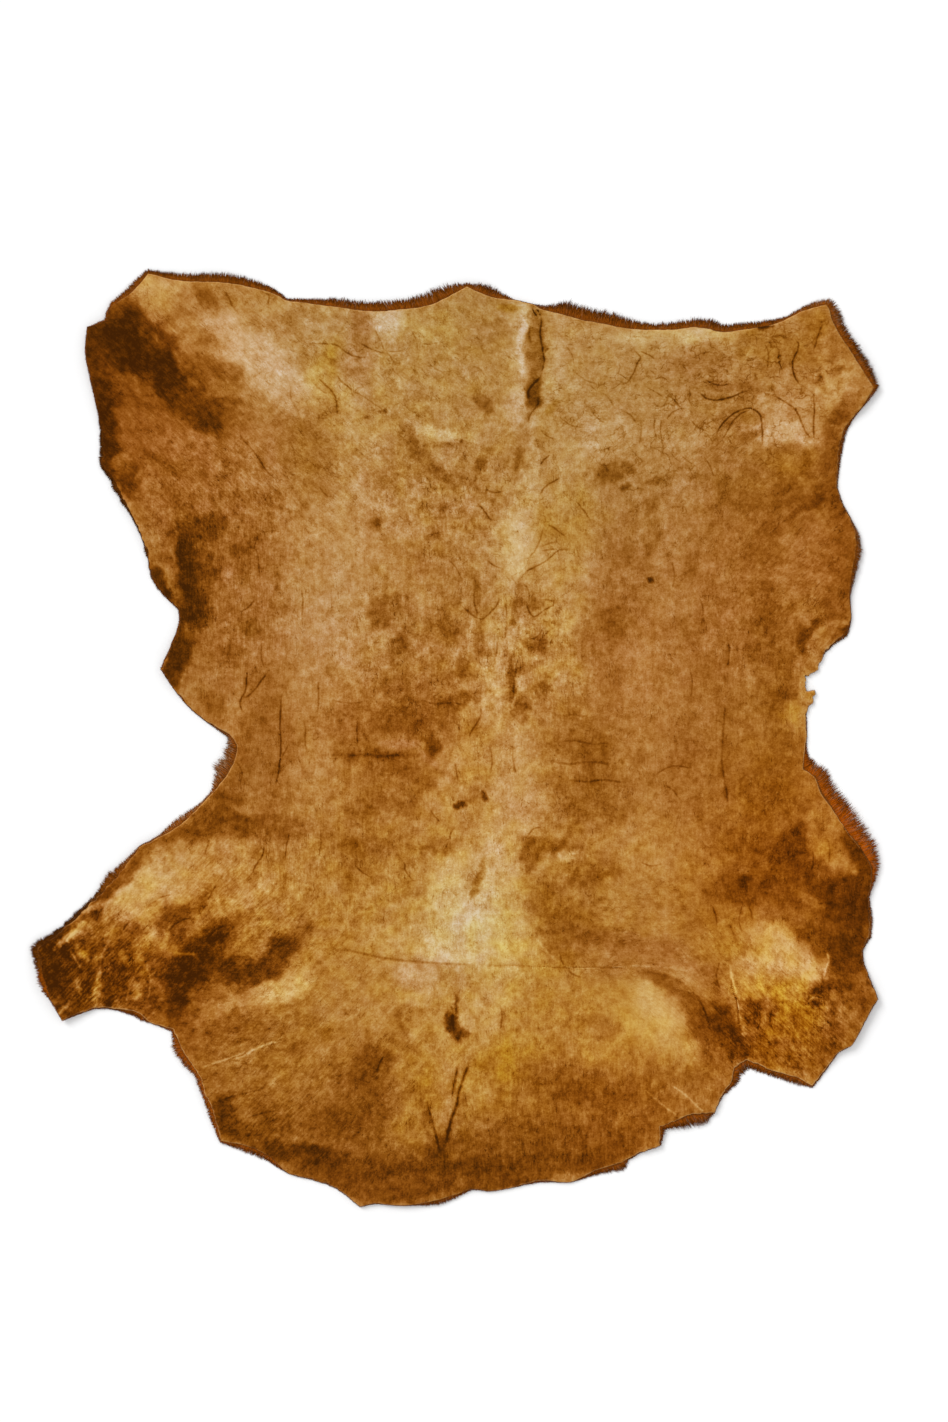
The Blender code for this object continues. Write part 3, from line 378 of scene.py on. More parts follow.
        (-564, -172, 42, 20, 40, 0.3, 0.2, 0.65), (-524, -150, 22, 18, 90, 0.22, 0.1, 0.6),
        (-484, -192, 36, 16, -25, 0.24, 0.2, 0.6), (-804, -395, 16, 6, 50, 0.08, 0.1, 0.85),
        (-826, -440, 20, 14, 80, 0.22, 0.3, 0.6), (-770, -416, 22, 14, 70, 0.28, 0.2, 0.55),
        (-722, -430, 20, 16, 0, 0.28, 0.3, 0.55), (-620, -424, 32, 18, 80, 0.24, 0.4, 0.6),
        (-813, -377, 27, 5, 32, 0.84, 0.1, 0.7), (600, 797, 34, 8, -8, 0.4, 0.6, 0.7),
        (663, 718, 20, 11, 0, 0.44, -0.3, 0.6), (645, 678, 29, 8, 8, 0.38, 0.2, 0.7),
        (821, 804, 14, 9, 0, 0.36, 0.5, 0.6), (735, 725, 40, 35, 0, 0.72, 0.3, 0.5),
        (738, 694, 44, 20, 0, 0.76, 0.4, 0.5), (49, 320, 40, 8, 88, 0.34, 0.1, 0.65),
        (137, 304, 47, 8, 80, 0.38, 0, 0.6), (160, 304, 16, 16, 0, 0.4, 0.1, 0.5),
        (334, -454, 76, 18, -9, 0.38, 0.6, 0.55), (450, -595, 60, 35, -30, 0.88, 0.1, 0.6),
        (358, -566, 36, 28, 0, 0.6, 0.1, 0.45), (479, -557, 68, 11, -24, 0.38, 0.3, 0.65),
        (548, -600, 34, 14, -50, 0.3, 0.2, 0.65), (575, -546, 50, 11, -57, 0.42, 0.2, 0.6),
        (172, 786, 32, 16, 85, 0.16, 0.1, 0.8), (182, 757, 14, 11, 0, 0.2, 0.1, 0.7),
        (182, 884, 76, 16, 88, 0.42, 0.1, 0.6), (168, 905, 20, 6, 85, 0.46, -0.5, 0.6),
        (139, 628, 20, 7, 85, 0.28, 0.1, 0.75), (-214, 890, 22, 20, 60, 0.44, 0.1, 0.5),
        (906, -270, 64, 20, -60, 0.14, -0.2, 0.7), (848, -268, 52, 22, -31, 0.68, -0.4, 0.75),
        (804, -184, 38, 16, 88, 0.66, -0.3, 0.65), (754, -252, 50, 30, 80, 0.15, 0.3, 0.7),
        (668, -326, 36, 14, -5, 0.13, 0.3, 0.62), (843, -350, 32, 8, 88, 0.08, -0.1, 0.7),
        (859, -341, 22, 8, 80, 0.34, 0.6, 0.6), (798, -362, 40, 9, -27, 0.54, -0.1, 0.75),
        (768, -382, 50, 18, -15, 0.48, 0, 0.6), (690, -292, 44, 18, -10, 0.44, -0.1, 0.4),
        (-764, 962, 30, 20, 45, 0.22, 0.3, 0.6), (-682, 1004, 44, 20, -25, 0.8, -0.4, 0.45),
        (-566, 992, 22, 14, -45, 0.26, 0.3, 0.7), (-642, 884, 20, 18, 0, 0.24, 0.8, 0.45),
        (-758, 612, 22, 18, 60, 0.5, -0.1, 0.5), (-686, -456, 32, 18, 12, 0.68, -0.1, 0.5),
        (480, -655, 55, 30, 88, 0.86, -0.1, 0.5), (884, -620, 34, 22, 65, 0.58, 0.1, 0.55),
        (764, -570, 36, 28, 0, 0.76, -0.3, 0.45), (300, -685, 55, 35, 0, 0.74, 0, 0.5),
        (-45, -545, 50, 30, 0, 0.85, -0.2, 0.5), (-45, -640, 55, 70, 0, 0.74, -0.3, 0.5),
        (224, -532, 64, 28, 0, 0.78, -0.2, 0.45), (90, -600, 40, 45, 0, 0.86, -0.1, 0.5),
        (-12, -876, 76, 28, 0, 0.56, -0.2, 0.45), (-145, -195, 70, 30, 0, 0.68, 0, 0.45),
        (78, 98, 104, 20, 90, 0.8, -0.1, 0.7), (110, 284, 76, 14, 90, 0.72, -0.2, 0.6),
        (20, 275, 35, 30, 0, 0.7, -0.3, 0.4), (20, -60, 45, 35, 0, 0.82, -0.2, 0.42),
        (225, -60, 45, 30, 0, 0.72, 0, 0.4), (-310, 785, 35, 55, 0, 0.86, -0.2, 0.4),
        (-248, 756, 28, 32, 0, 0.7, -0.4, 0.35), (696, 750, 36, 28, 0, 0.78, 0.1, 0.42),
        (900, 756, 28, 28, 0, 0.7, 0.1, 0.4), (425, -270, 70, 35, 0, 0.78, 0.1, 0.4),
        (560, -400, 35, 30, 0, 0.36, 0.1, 0.45), (-520, -65, 45, 35, 0, 0.38, 0.2, 0.4),
        (-350, -940, 76, 28, -8, 0.06, 0, 0.5), (225, -765, 50, 45, 0, 0.24, 0.2, 0.42),
        (434, -810, 50, 28, 0, 0.3, 0.2, 0.4), (870, 885, 35, 30, 0, 0.44, 0.1, 0.4),
        (335, 935, 60, 30, 0, 0.42, 0.1, 0.45), (90, 896, 40, 28, 0, 0.42, 0, 0.42),
        (-585, 980, 55, 30, 0, 0.42, 0.1, 0.42), (-444, 816, 36, 28, 0, 0.86, 0.1, 0.35),
        (-130, 605, 40, 75, 0, 0.48, -0.2, 0.4), (530, 575, 40, 35, 0, 0.7, 0.2, 0.4),
        (600, 618, 32, 22, 0, 0.62, 0.1, 0.4), (-254, 8, 36, 22, 0, 0.58, 0.2, 0.4),
        (-518, -668, 40, 28, 0, 0.3, 0.2, 0.4), (-8, -648, 30, 14, -70, 0.07, 0.2, 0.95),
        (17, -663, 16, 9, -40, 0.2, 0.2, 0.85), (2, -609, 20, 4, -85, 0.14, 0.1, 0.92),
        (4, -584, 11, 4, 90, 0.16, 0.1, 0.9),
    ),
}

# Creases by region, and in each the values of Crease in its order
CREASES = {
    "neck and left shoulder": (
        (0.43, 0.5, 2.2, "-480 671  -462 655  -444 631  -426 604  -406 581"),
        (0.31, 0.4, 2.2, "-525 1009  -509 991  -502 973  -484 952"),
        (0.35, 0.4, 2.2, "-428 1002  -419 993  -421 975"),
        (0.31, 0.4, 2, "-435 464  -412 466  -390 464"),
        (0.31, 0.4, 2, "-444 457  -448 439  -455 424"),
        (0.35, 0.4, 2, "-473 428  -451 426  -444 410  -439 356"),
        (0.31, 0.4, 2, "-338 885  -316 887  -280 885"),
        (0.23, 0.4, 2, "-327 811  -309 788  -286 772"),
        (0.23, 0.3, 2, "-370 788  -370 766  -358 739"),
        (0.27, 0.3, 2, "-455 811  -444 817  -433 826"),
        (0.47, 0.6, 2.2, "-331 885  -309 887  -286 887  -266 883  -250 871  -232 860  -214 856  "
         "-199 856"),
        (0.35, 0.4, 2, "-214 889  -196 878  -174 869  -156 865"),
        (0.47, 0.6, 2.2, "-309 811  -291 793  -277 779  -268 761  -266 739  -262 723"),
        (0.43, 0.5, 2, "-266 817  -257 802  -241 790  -232 781"),
        (0.27, 0.3, 1.8, "-232 781  -210 770  -183 752  -160 736"),
        (0.31, 0.4, 2, "-181 919  -169 894  -160 874  -145 856  -133 838"),
        (0.23, 0.3, 1.8, "-167 896  -160 874  -138 869  -111 874"),
        (0.23, 0.3, 1.8, "-77 887  -57 885  -37 889"),
        (0.23, 0.3, 1.8, "-149 838  -129 817  -118 804"),
        (0.2, 0.3, 1.8, "-248 757  -232 743  -212 734"),
        (0.2, 0.3, 1.8, "-102 919  -88 896  -84 869"),
        (0.23, 0.3, 1.8, "-21 883  -7 869  15 860"),
        (0.2, 0.3, 1.8, "-57 838  -30 824  -7 826"),
        (0.2, 0.3, 1.8, "33 838  56 829  69 811"),
        (0.23, 0.3, 1.8, "-309 568  -298 554  -284 541"),
        (0.27, 0.4, 1.8, "-482 669  -484 694"),
        (0.2, 0.3, 1.8, "-372 671  -363 644  -358 604"),
    ),
    "withers and spine": (
        (0.59, 0.5, 2.2, "51 527  65 511  78 491"),
        (0.48, 0.4, 2, "67 559  87 552  107 554"),
        (0.44, 0.4, 2, "67 568  76 556  103 550"),
        (0.48, 0.4, 2, "191 615  202 628  213 637"),
        (0.44, 0.4, 2, "191 547  200 563  213 572  236 586"),
        (0.44, 0.4, 2, "209 480  227 469  249 451"),
        (0.48, 0.4, 2, "146 356  159 374  179 385  197 394  213 406  227 419  240 424  258 424"),
        (0.39, 0.4, 2, "269 536  287 514  303 491"),
        (0.34, 0.3, 2, "161 401  177 419  191 446  197 473"),
        (0.48, 0.5, 2.2, "11 300  24 289  44 273  62 268  78 282  94 300  101 320"),
        (0.39, 0.4, 2, "44 334  42 307  51 277"),
        (0.44, 0.4, 2, "56 75  58 59  53 41  38 19  29 -4"),
        (0.48, 0.4, 2, "159 300  166 284  177 273  193 282  206 291  220 300  222 316"),
        (0.39, 0.4, 2, "202 232  211 241  224 250"),
        (0.39, 0.4, 2, "128 -15  130 -49  137 -83"),
        (0.44, 0.4, 2, "-1 -53  2 -71  6 -94"),
        (0.34, 0.3, 2, "134 176  137 154  134 131  130 86"),
        (0.39, 0.4, 2, "112 311  116 271  112 221"),
        (0.34, 0.3, 2, "94 221  92 187  85 158"),
        (0.29, 0.3, 2, "152 349  164 334  166 311"),
        (0.39, 0.3, 2, "71 401  87 388  107 379"),
        (0.34, 0.3, 2, "-16 401  2 383  15 356"),
        (0.34, 0.3, 2, "242 716  260 703  287 698"),
        (0.29, 0.3, 1.8, "191 694  204 680  227 671"),
        (0.34, 0.3, 1.8, "168 221  186 230  197 248"),
        (0.34, 0.3, 1.8, "76 -15  83 -49  78 -83"),
        (0.34, 0.4, 2, "193 311  206 311  220 307  220 298  204 291  188 286"),
        (0.29, 0.3, 2, "191 430  209 437  231 442"),
        (0.31, 0.3, 2, "193 421  218 424  240 424"),
    ),
    "right shoulder": (
        (0.41, 0.4, 2, "364 795  386 799  402 824  411 847  416 856  400 874"),
        (0.41, 0.4, 2, "416 869  434 862  449 851"),
        (0.61, 0.5, 2.2, "542 781  555 772  566 763  587 759  605 763  625 768  643 777  "
         "661 781"),
        (0.51, 0.5, 2, "562 806  578 797  596 793  618 797"),
        (0.66, 0.6, 2.2, "584 671  589 687  598 703  611 718  629 732  647 739  665 741  "
         "681 732  688 716  690 689  690 651"),
        (0.51, 0.5, 2, "596 671  609 685  618 703  632 721  647 732  668 739"),
        (0.41, 0.4, 2, "488 766  499 752  512 734"),
        (0.36, 0.4, 2, "697 885  704 862  701 829"),
        (0.66, 0.6, 2.2, "764 896  771 887  769 871  760 853  758 833  762 815  769 802  "
         "776 793"),
        (0.51, 0.5, 2.2, "708 772  724 766  744 754  762 741  773 723  782 700  794 680  "
         "803 669"),
        (0.57, 0.5, 2.2, "805 770  807 739  805 705  807 671"),
        (0.41, 0.4, 2, "825 930  816 907  809 883  805 869"),
        (0.31, 0.3, 1.8, "447 806  465 811  483 797"),
        (0.31, 0.3, 1.8, "438 757  461 745  479 752  497 743"),
        (0.31, 0.3, 1.8, "474 716  488 732  506 741"),
        (0.36, 0.3, 1.8, "449 721  447 698  452 671"),
        (0.31, 0.3, 1.8, "463 716  461 689  465 662"),
        (0.25, 0.3, 1.8, "416 716  418 689  413 658"),
        (0.31, 0.3, 1.8, "530 779  526 761  533 743"),
        (0.25, 0.3, 1.8, "506 637  524 622  544 608"),
        (0.25, 0.3, 1.8, "555 637  571 613  582 586"),
        (0.31, 0.3, 1.8, "431 788  449 779  470 766"),
        (0.25, 0.3, 1.8, "326 779  344 766  357 743"),
        (0.25, 0.3, 1.8, "303 743  317 721  339 707"),
        (0.25, 0.3, 1.8, "269 824  290 806  317 797"),
        (0.25, 0.3, 1.8, "708 901  726 905  749 896"),
        (0.31, 0.3, 1.8, "726 869  728 847  737 824"),
        (0.25, 0.3, 1.8, "611 694  600 671  582 653"),
        (0.25, 0.3, 1.8, "247 885  263 860  267 829"),
        (0.31, 0.3, 1.8, "528 716  546 698  569 689"),
        (0.25, 0.3, 1.8, "371 739  393 727  407 707"),
        (0.25, 0.3, 1.8, "434 885  461 876  479 883"),
    ),
    "left flank": (
        (0.48, 0.5, 2.2, "-466 158  -469 136  -471 109  -484 79  -475 55"),
        (0.48, 0.5, 2.2, "-421 149  -435 131  -451 109  -466 95  -478 91"),
        (0.58, 0.6, 2.2, "-390 97  -392 75  -394 30  -392 -8  -394 -49  -399 -83  -406 -116"),
        (0.44, 0.4, 2, "-376 -15  -383 -31  -394 -49"),
        (0.39, 0.4, 2, "-345 334  -343 307  -345 266"),
        (0.39, 0.4, 2, "-451 311  -466 293  -484 284"),
        (0.53, 0.5, 2.2, "-430 -240  -433 -263  -446 -281  -457 -303"),
        (0.39, 0.4, 2, "-372 -211  -379 -240  -383 -269"),
        (0.39, 0.4, 2, "-552 -229  -559 -247  -563 -263"),
        (0.39, 0.4, 2, "-538 -330  -547 -346  -556 -364"),
        (0.34, 0.3, 2, "-309 131  -307 86  -311 50"),
        (0.34, 0.3, 2, "-304 -202  -302 -233  -307 -269"),
        (0.34, 0.3, 2, "-336 28  -338 -4  -334 -31"),
        (0.34, 0.3, 2, "-435 221  -437 187  -430 158"),
        (0.29, 0.3, 2, "-493 -49  -480 -76  -484 -107"),
    ),
    "back": (
        (0.26, 0.4, 3.1, "-248 -42  -223 -38  -196 -38  -165 -40  -138 -38  -109 -38"),
        (0.38, 0.4, 2, "-219 41  -221 23  -221 7  -219 -15"),
        (0.43, 0.4, 2.2, "-23 -251  -16 -233  -12 -218  -5 -204  -1 -195"),
        (0.43, 0.4, 2, "157 -229  173 -206  184 -202  197 -200"),
        (0.43, 0.4, 2, "-226 -285  -210 -301  -187 -314"),
        (0.47, 0.4, 2, "-120 -274  -113 -285  -113 -296  -97 -319"),
        (0.43, 0.4, 2, "-57 -161  -48 -173  -34 -188"),
        (0.28, 0.4, 2.5, "236 -8  269 -6  308 -13  348 -11"),
        (0.28, 0.4, 2.5, "218 -53  258 -58  303 -53  353 -60"),
        (0.34, 0.4, 2.5, "258 -94  294 -98  335 -94  384 -101"),
        (0.24, 0.3, 2.5, "227 50  267 52  303 46"),
        (0.24, 0.3, 2.2, "-282 86  -241 79  -201 82"),
        (0.28, 0.3, 2.2, "-79 86  -43 77  -7 79  33 73"),
        (0.34, 0.5, 2.7, "607 86  605 52  602 19  600 -26  600 -60  605 -94  611 -128  614 -166"),
        (0.34, 0.3, 2, "449 -83  472 -69  494 -62  528 -67"),
        (0.38, 0.4, 2, "472 -107  488 -116  506 -139"),
        (0.34, 0.3, 2, "416 -278  438 -287  465 -283"),
        (0.38, 0.4, 2, "551 311  557 284  553 253"),
        (0.34, 0.3, 2, "614 221  616 187  611 158"),
        (0.28, 0.3, 2, "488 401  492 365  488 334"),
        (0.28, 0.3, 2, "528 154  533 122  528 86"),
    ),
    "loin and rump": (
        (0.36, 0.9, 3.1, "-304 -474  -277 -476  -248 -476  -214 -483  -174 -492  -124 -499  "
         "-79 -503  -34 -506  11 -508  56 -510"),
        (0.24, 0.7, 3.1, "56 -510  146 -512  236 -515  326 -515  416 -517"),
        (0.24, 0.6, 4.3, "393 -524  434 -526  472 -533  506 -548  533 -571  551 -591  564 -616"),
        (0.8, 1.4, 3.6, "33 -719  29 -735  22 -753  15 -773  8 -796  4 -821  -3 -841  -10 -859  "
         "-16 -886  -23 -917"),
        (0.55, 1, 2.9, "6 -733  2 -755  -3 -778  -7 -805"),
        (0.5, 0.9, 2.9, "-66 -809  -59 -836  -50 -868  -41 -904  -34 -931"),
        (0.6, 1, 2.7, "-12 -598  -5 -616  -7 -634  -3 -656"),
        (0.4, 0.4, 2.2, "236 -481  240 -503  263 -530  290 -539"),
        (0.4, 0.4, 2, "-158 -710  -169 -728  -178 -751"),
        (0.3, 0.4, 2.2, "-541 -816  -507 -807  -471 -798  -430 -789"),
        (0.3, 0.4, 2.2, "-466 -854  -435 -843  -394 -836"),
        (0.35, 0.4, 2.2, "101 -598  105 -625  101 -656"),
        (0.42, 0.5, 2.2, "575 -373  582 -389  587 -404  587 -422"),
        (0.24, 0.4, 2.5, "616 -413  623 -434  632 -461"),
        (0.3, 0.4, 2.2, "659 -375  665 -393  670 -413"),
    ),
    "legs": (
        (0.57, 0.8, 2.5, "618 -544  625 -571  634 -598  636 -629  643 -661"),
        (0.26, 0.6, 2.9, "528 -566  551 -593  566 -629  575 -661"),
        (0.34, 0.5, 2.2, "596 -499  587 -533  596 -566"),
        (0.43, 0.5, 2, "789 -596  796 -584  809 -580  823 -584  830 -596  825 -607"),
        (0.38, 0.5, 2, "796 -602  807 -611  821 -607"),
        (0.38, 0.5, 2, "677 -600  686 -629  679 -656"),
        (0.38, 0.5, 2, "713 -607  708 -634  715 -659"),
        (0.34, 0.5, 2, "645 -375  638 -409  645 -440"),
        (0.34, 0.4, 2, "836 -224  841 -251  839 -283"),
        (0.34, 0.4, 2, "803 -251  805 -278  798 -305"),
        (0.38, 0.5, 2, "-687 -375  -664 -359  -637 -350"),
        (0.38, 0.5, 2, "-642 -431  -619 -411  -592 -404"),
        (0.38, 0.5, 2, "-754 -443  -739 -420  -714 -400"),
        (0.43, 0.6, 2.2, "-561 -454  -538 -431  -511 -418"),
    ),
    "neck pleat": (
        (0.52, 1.6, 2.2, "191 959  193 937  191 914  193 892  197 869  200 851  197 833  "
         "193 815"),
        (0.6, 1.2, 2.5, "193 815  184 804  173 793  164 779  166 761"),
        (0.5, 0.8, 2.2, "197 860  204 871  211 878"),
        (0.4, 1, 3.1, "168 928  166 910  170 887"),
        (0.45, 0.8, 2.2, "186 766  186 752  177 739  168 725  164 709"),
        (0.85, 1.4, 1.8, "173 966  177 957  184 948"),
        (0.85, 1.4, 1.8, "182 970  186 961  193 948"),
    ),
}

# Ridges, with the same values; a ridge's light line is a painted highlight along its top
RIDGES = {
    "painted ridge highlights": (
        (0.2, 0.6, 3.1, "227 -499  245 -512  269 -517  308 -517  348 -515  416 -512  488 -517  "
         "551 -530"),
        (0.24, 0.5, 2.9, "182 -449  202 -476  227 -501"),
        (0.26, 0.5, 2.9, "56 -512  119 -517  182 -517  227 -512"),
        (0.5, 0.5, 2.9, "-507 -724  -475 -713  -435 -692  -385 -679"),
        (0.45, 0.5, 2.7, "-563 -737  -507 -719  -435 -692  -372 -665"),
        (0.4, 0.4, 2.5, "479 -776  515 -800  551 -834  578 -854"),
        (0.35, 0.4, 2.5, "427 -791  465 -823  501 -850"),
        (0.4, 0.6, 2.5, "-885 -467  -867 -447  -844 -420"),
        (0.55, 0.6, 2.7, "-862 -481  -851 -499  -842 -517"),
        (0.32, 0.6, 2.7, "-808 -602  -797 -562  -797 -503  -781 -458  -763 -418"),
        (0.32, 0.6, 2.7, "-741 -596  -730 -555  -709 -510"),
        (0.28, 0.6, 2.7, "-691 -589  -685 -544  -696 -510"),
        (0.6, 0.6, 3.1, "834 -476  839 -499  832 -521  827 -539"),
        (0.5, 0.6, 3.1, "616 -503  623 -544  634 -589  643 -643  650 -679"),
        (0.2, 0.4, 2.5, "-642 428  -631 397  -624 361"),
    ),
}

# The way the hair grows, and so the streaks in the skin: x, y, degrees from +X, reach (mm)
FLOW = (
    (-750, 800, -42, 250), (-450, 800, -40, 250), (-650, 450, -70, 250), (-500, 300, 88, 200),
    (-150, 750, -60, 220), (100, 600, 88, 200), (100, 100, 86, 250), (-200, 0, 90, 200),
    (400, 100, 92, 250), (550, 500, 80, 250), (800, 450, 40, 180), (700, 850, 10, 200),
    (350, 800, 0, 200), (50, -400, 85, 200), (-400, -150, 88, 200), (-620, -300, 30, 150),
    (-850, -500, 45, 180), (-450, -600, 20, 200), (-200, -750, 60, 200), (50, -850, 86, 150),
    (350, -800, 80, 200), (750, -500, -60, 180), (600, -620, -60, 120), (450, -500, -10, 150),
    (750, -250, 70, 200),
)

# Where the skin is pale and greyish: x, y, reach (mm), strength
CHALK = (
    (0, 950, 450, 0.9), (350, 750, 400, 0.9), (-280, 920, 200, 0.8), (100, 400, 200, 0.4),
    (30, -420, 120, 0.6), (-400, 800, 140, 0.5), (-250, 300, 200, 0.35),
)

# Where the cut edge is nicked and torn: x, y, reach (mm), how much
TORN = (
    (-800, 800, 150, 0.6), (-760, 560, 160, 1.0), (-690, 380, 110, 0.9), (-640, 150, 90, 0.9),
    (800, 140, 110, 1.4), (880, 560, 120, 0.6), (925, -450, 160, 0.7), (-800, -360, 160, 0.8),
    (-930, -540, 110, 0.9), (-560, -800, 120, 0.7), (480, -900, 110, 0.6), (-300, -1000, 120, 0.6),
    (600, -800, 100, 0.6),
)

# Tufts of hair past the cut edge: x, y, reach (mm), how much further they reach (mm)
TUFTS = (
    (-800, 671, 45, 4), (-790, 622, 25, 3), (-759, 541, 35, 6), (-694, 417, 20, 4),
    (-669, 345, 40, 3), (-783, -308, 28, 12), (-838, -388, 40, 3), (-878, -431, 40, 4),
    (-930, -488, 35, 6), (-930, -555, 30, 7), (-709, -627, 30, 5), (812, -52, 30, 9),
    (905, -190, 75, 8), (-68, 1013, 55, 7), (-259, 993, 40, 5), (232, 985, 18, 6),
    (936, -395, 30, 5), (-545, -94, 26, 9),
)

# Where no hair shows, at the torn bite in the right flank: x, y, reach (mm)
BARE = ((798, 122, 52),)

# Where the cut edge shows pale, or dark: x, y, reach (mm), paleness
PALE_CUT = (
    (-600, 1030, 110, 0.9), (-430, 1000, 60, 0.9), (-150, 955, 180, 0.8), (60, 980, 70, 1.0),
    (380, 905, 250, 0.75), (760, 940, 80, 0.5), (860, 880, 70, 0.5), (-830, 750, 200, 0.0),
    (-760, 560, 140, 0.0), (-560, 90, 120, 0.2), (860, 560, 90, 0.3), (800, 60, 130, 0.7),
    (850, -160, 110, 0.8), (920, -400, 120, 0.5), (900, -640, 90, 0.3), (700, -745, 110, 1.0),
    (800, -780, 60, 0.9), (560, -835, 80, 0.8), (420, -935, 100, 0.6), (250, -1000, 120, 0.7),
    (-200, -1040, 200, 0.3), (-560, -800, 120, 0.8), (-610, -720, 70, 0.9), (-800, -610, 130, 0.9),
    (-930, -560, 90, 0.05), (-850, -410, 120, 0.25), (-620, -200, 90, 0.5), (-510, -60, 90, 0.6),
)

# The hair past the cut edge: x, y, reach (mm), how orange it is (to 1) or how dark (to -1), how
# dark-tipped and how pale-tipped (0 to 1), and its lean in degrees, anticlockwise
FRINGE = (
    (-550, 1040, 220, 0.10, 0.75, 0.05, 0), (-150, 985, 300, 0.15, 0.80, 0.10, 8),
    (30, 1010, 120, 0.10, 0.80, 0.10, 0), (350, 950, 260, 0.15, 0.80, 0.12, 0),
    (700, 940, 160, 0.10, 0.80, 0.05, 0), (865, 960, 60, 0.10, 0.30, 0.60, 0),
    (920, 850, 110, 0.15, 0.65, 0.20, -10), (900, 450, 160, 0.10, 0.25, 0.60, -20),
    (880, 250, 110, 0.10, 0.60, 0.30, -20), (840, -120, 130, 0.55, 0.30, 0.30, 10),
    (920, -240, 110, 0.95, 0.15, 0.35, -10), (930, -500, 160, 0.20, 0.50, 0.30, -20),
    (700, -750, 130, 0.30, 0.40, 0.25, 0), (540, -850, 80, 0.25, 0.45, 0.25, 20),
    (340, -980, 90, 0.25, 0.45, 0.25, 20), (-40, -1050, 90, 0.20, 0.50, 0.20, 0),
    (-500, -900, 160, 0.35, 0.45, 0.20, 0), (-620, -720, 100, 0.50, 0.40, 0.25, 0),
    (-840, -390, 130, -0.80, 0.60, 0.05, 0), (-740, -290, 80, 0.10, 0.60, 0.20, 0),
    (-930, -470, 60, -0.70, 0.60, 0.00, 0), (-930, -570, 60, 0.35, 0.40, 0.00, 0),
    (-600, -190, 100, 0.15, 0.40, 0.55, -10), (-500, -50, 80, 0.10, 0.45, 0.60, -10),
    (-770, 560, 200, -0.6, 0.6, 0.05, 0),
)

# Where a fine net of wrinkles shows: x, y, reach (mm), strength
WRINKLED = (
    (-250, 830, 250, 0.7), (450, 780, 300, 1.0), (700, 780, 220, 1.0), (150, 450, 250, 0.7),
    (50, 150, 220, 0.5), (-350, 500, 200, 0.5), (-50, -350, 200, 0.5),
)

# How mottled the skin is: x, y, reach (mm), strength of the blotches, strength of the streaks
MOTTLED = (
    (-250, 200, 170, 0.6, 0.4), (-260, 420, 170, 0.5, 0.4), (430, 850, 150, 0.55, 0.3),
    (130, 430, 60, 0.4, 0.3), (-60, 600, 190, 2.2, 0.8), (-100, 150, 200, 2.0, 0.7),
    (180, 180, 140, 2.2, 1.2), (440, 250, 170, 1.2, 0.6), (740, 250, 180, 1.6, 1.0),
    (150, -250, 220, 1.6, 0.8), (-200, -250, 200, 1.5, 0.9), (-530, 560, 180, 1.7, 1.8),
    (-500, 300, 150, 1.6, 1.3), (-470, -400, 180, 1.7, 1.8), (-790, -520, 150, 2.4, 2.2),
    (-420, -780, 200, 1.4, 1.6), (-20, -850, 230, 1.5, 1.2), (330, -820, 220, 1.4, 1.3),
    (50, -550, 150, 1.4, 0.8), (740, -640, 150, 2.2, 2.4), (720, -280, 170, 1.5, 0.9),
    (650, 750, 200, 1.4, 0.7), (200, 760, 180, 1.1, 0.5), (-150, 830, 180, 1.2, 0.8),
    (430, -600, 100, 0.6, 1.0), (-480, 800, 130, 0.9, 1.2), (-700, 820, 130, 0.8, 1.6),
)

# Where the skin turns golden, or rosy (below 0): x, y, reach (mm), how much
GILDED = (
    (-180, -340, 270, 0.32), (-415, -475, 160, 0.20), (-600, -385, 135, 0.28),
    (235, -205, 180, 0.22), (260, -545, 200, 0.34), (415, -725, 200, 0.28),
    (595, -320, 180, 0.40), (775, -480, 130, 0.30), (755, -680, 120, 0.35),
    (120, -780, 115, 0.40), (695, 20, 135, 0.35), (-440, -735, 135, 0.18),
    (710, -140, 115, 0.28), (-240, -925, 150, -0.25), (-330, 250, 90, -0.3),
    (-250, 760, 100, 0.16),
)

# Where the brown is redder: x, y, reach (mm), how much
RUDDY = (
    (740, -290, 260, 0.8), (790, -520, 200, 0.55), (700, -650, 200, 0.8), (850, -130, 160, 0.7),
    (780, 420, 330, 0.4), (-700, -520, 230, 0.5), (-700, 720, 230, 0.45), (370, -830, 200, 0.5),
    (-120, 0, 190, 0.3), (-560, -400, 180, 0.35), (480, 180, 220, 0.2),
)


# ---- Noise ------------------------------------------------------------------------
# A seed only keeps one use of noise from looking like another.

def lattice(i, j, seed):
    """A repeatable random number from 0 to 1 for each whole-number place (i, j)."""
    n = (i * 374761393 + j * 668265263 + seed * 1442695041) & 0xFFFFFFFF
    n = ((n ^ (n >> 13)) * 1274126177) & 0xFFFFFFFF
    return ((n ^ (n >> 16)) & 0xFFFFFF) / 0xFFFFFF


def noise(x, y, seed):
    """Smooth gradient noise from about -1 to 1, with cells of size 1."""
    i, j = np.floor(x).astype(np.int64), np.floor(y).astype(np.int64)
    u, v = x - i, y - j
    corner = {}
    for a in (0, 1):
        for b in (0, 1):
            turn = 2.0 * math.pi * lattice(i + a, j + b, seed)
            corner[a, b] = np.cos(turn) * (u - a) + np.sin(turn) * (v - b)
    u, v = (t * t * t * (t * (6.0 * t - 15.0) + 10.0) for t in (u, v))
    low = corner[0, 0] + u * (corner[1, 0] - corner[0, 0])
    high = corner[0, 1] + u * (corner[1, 1] - corner[0, 1])
    return 1.5 * (low + v * (high - low))


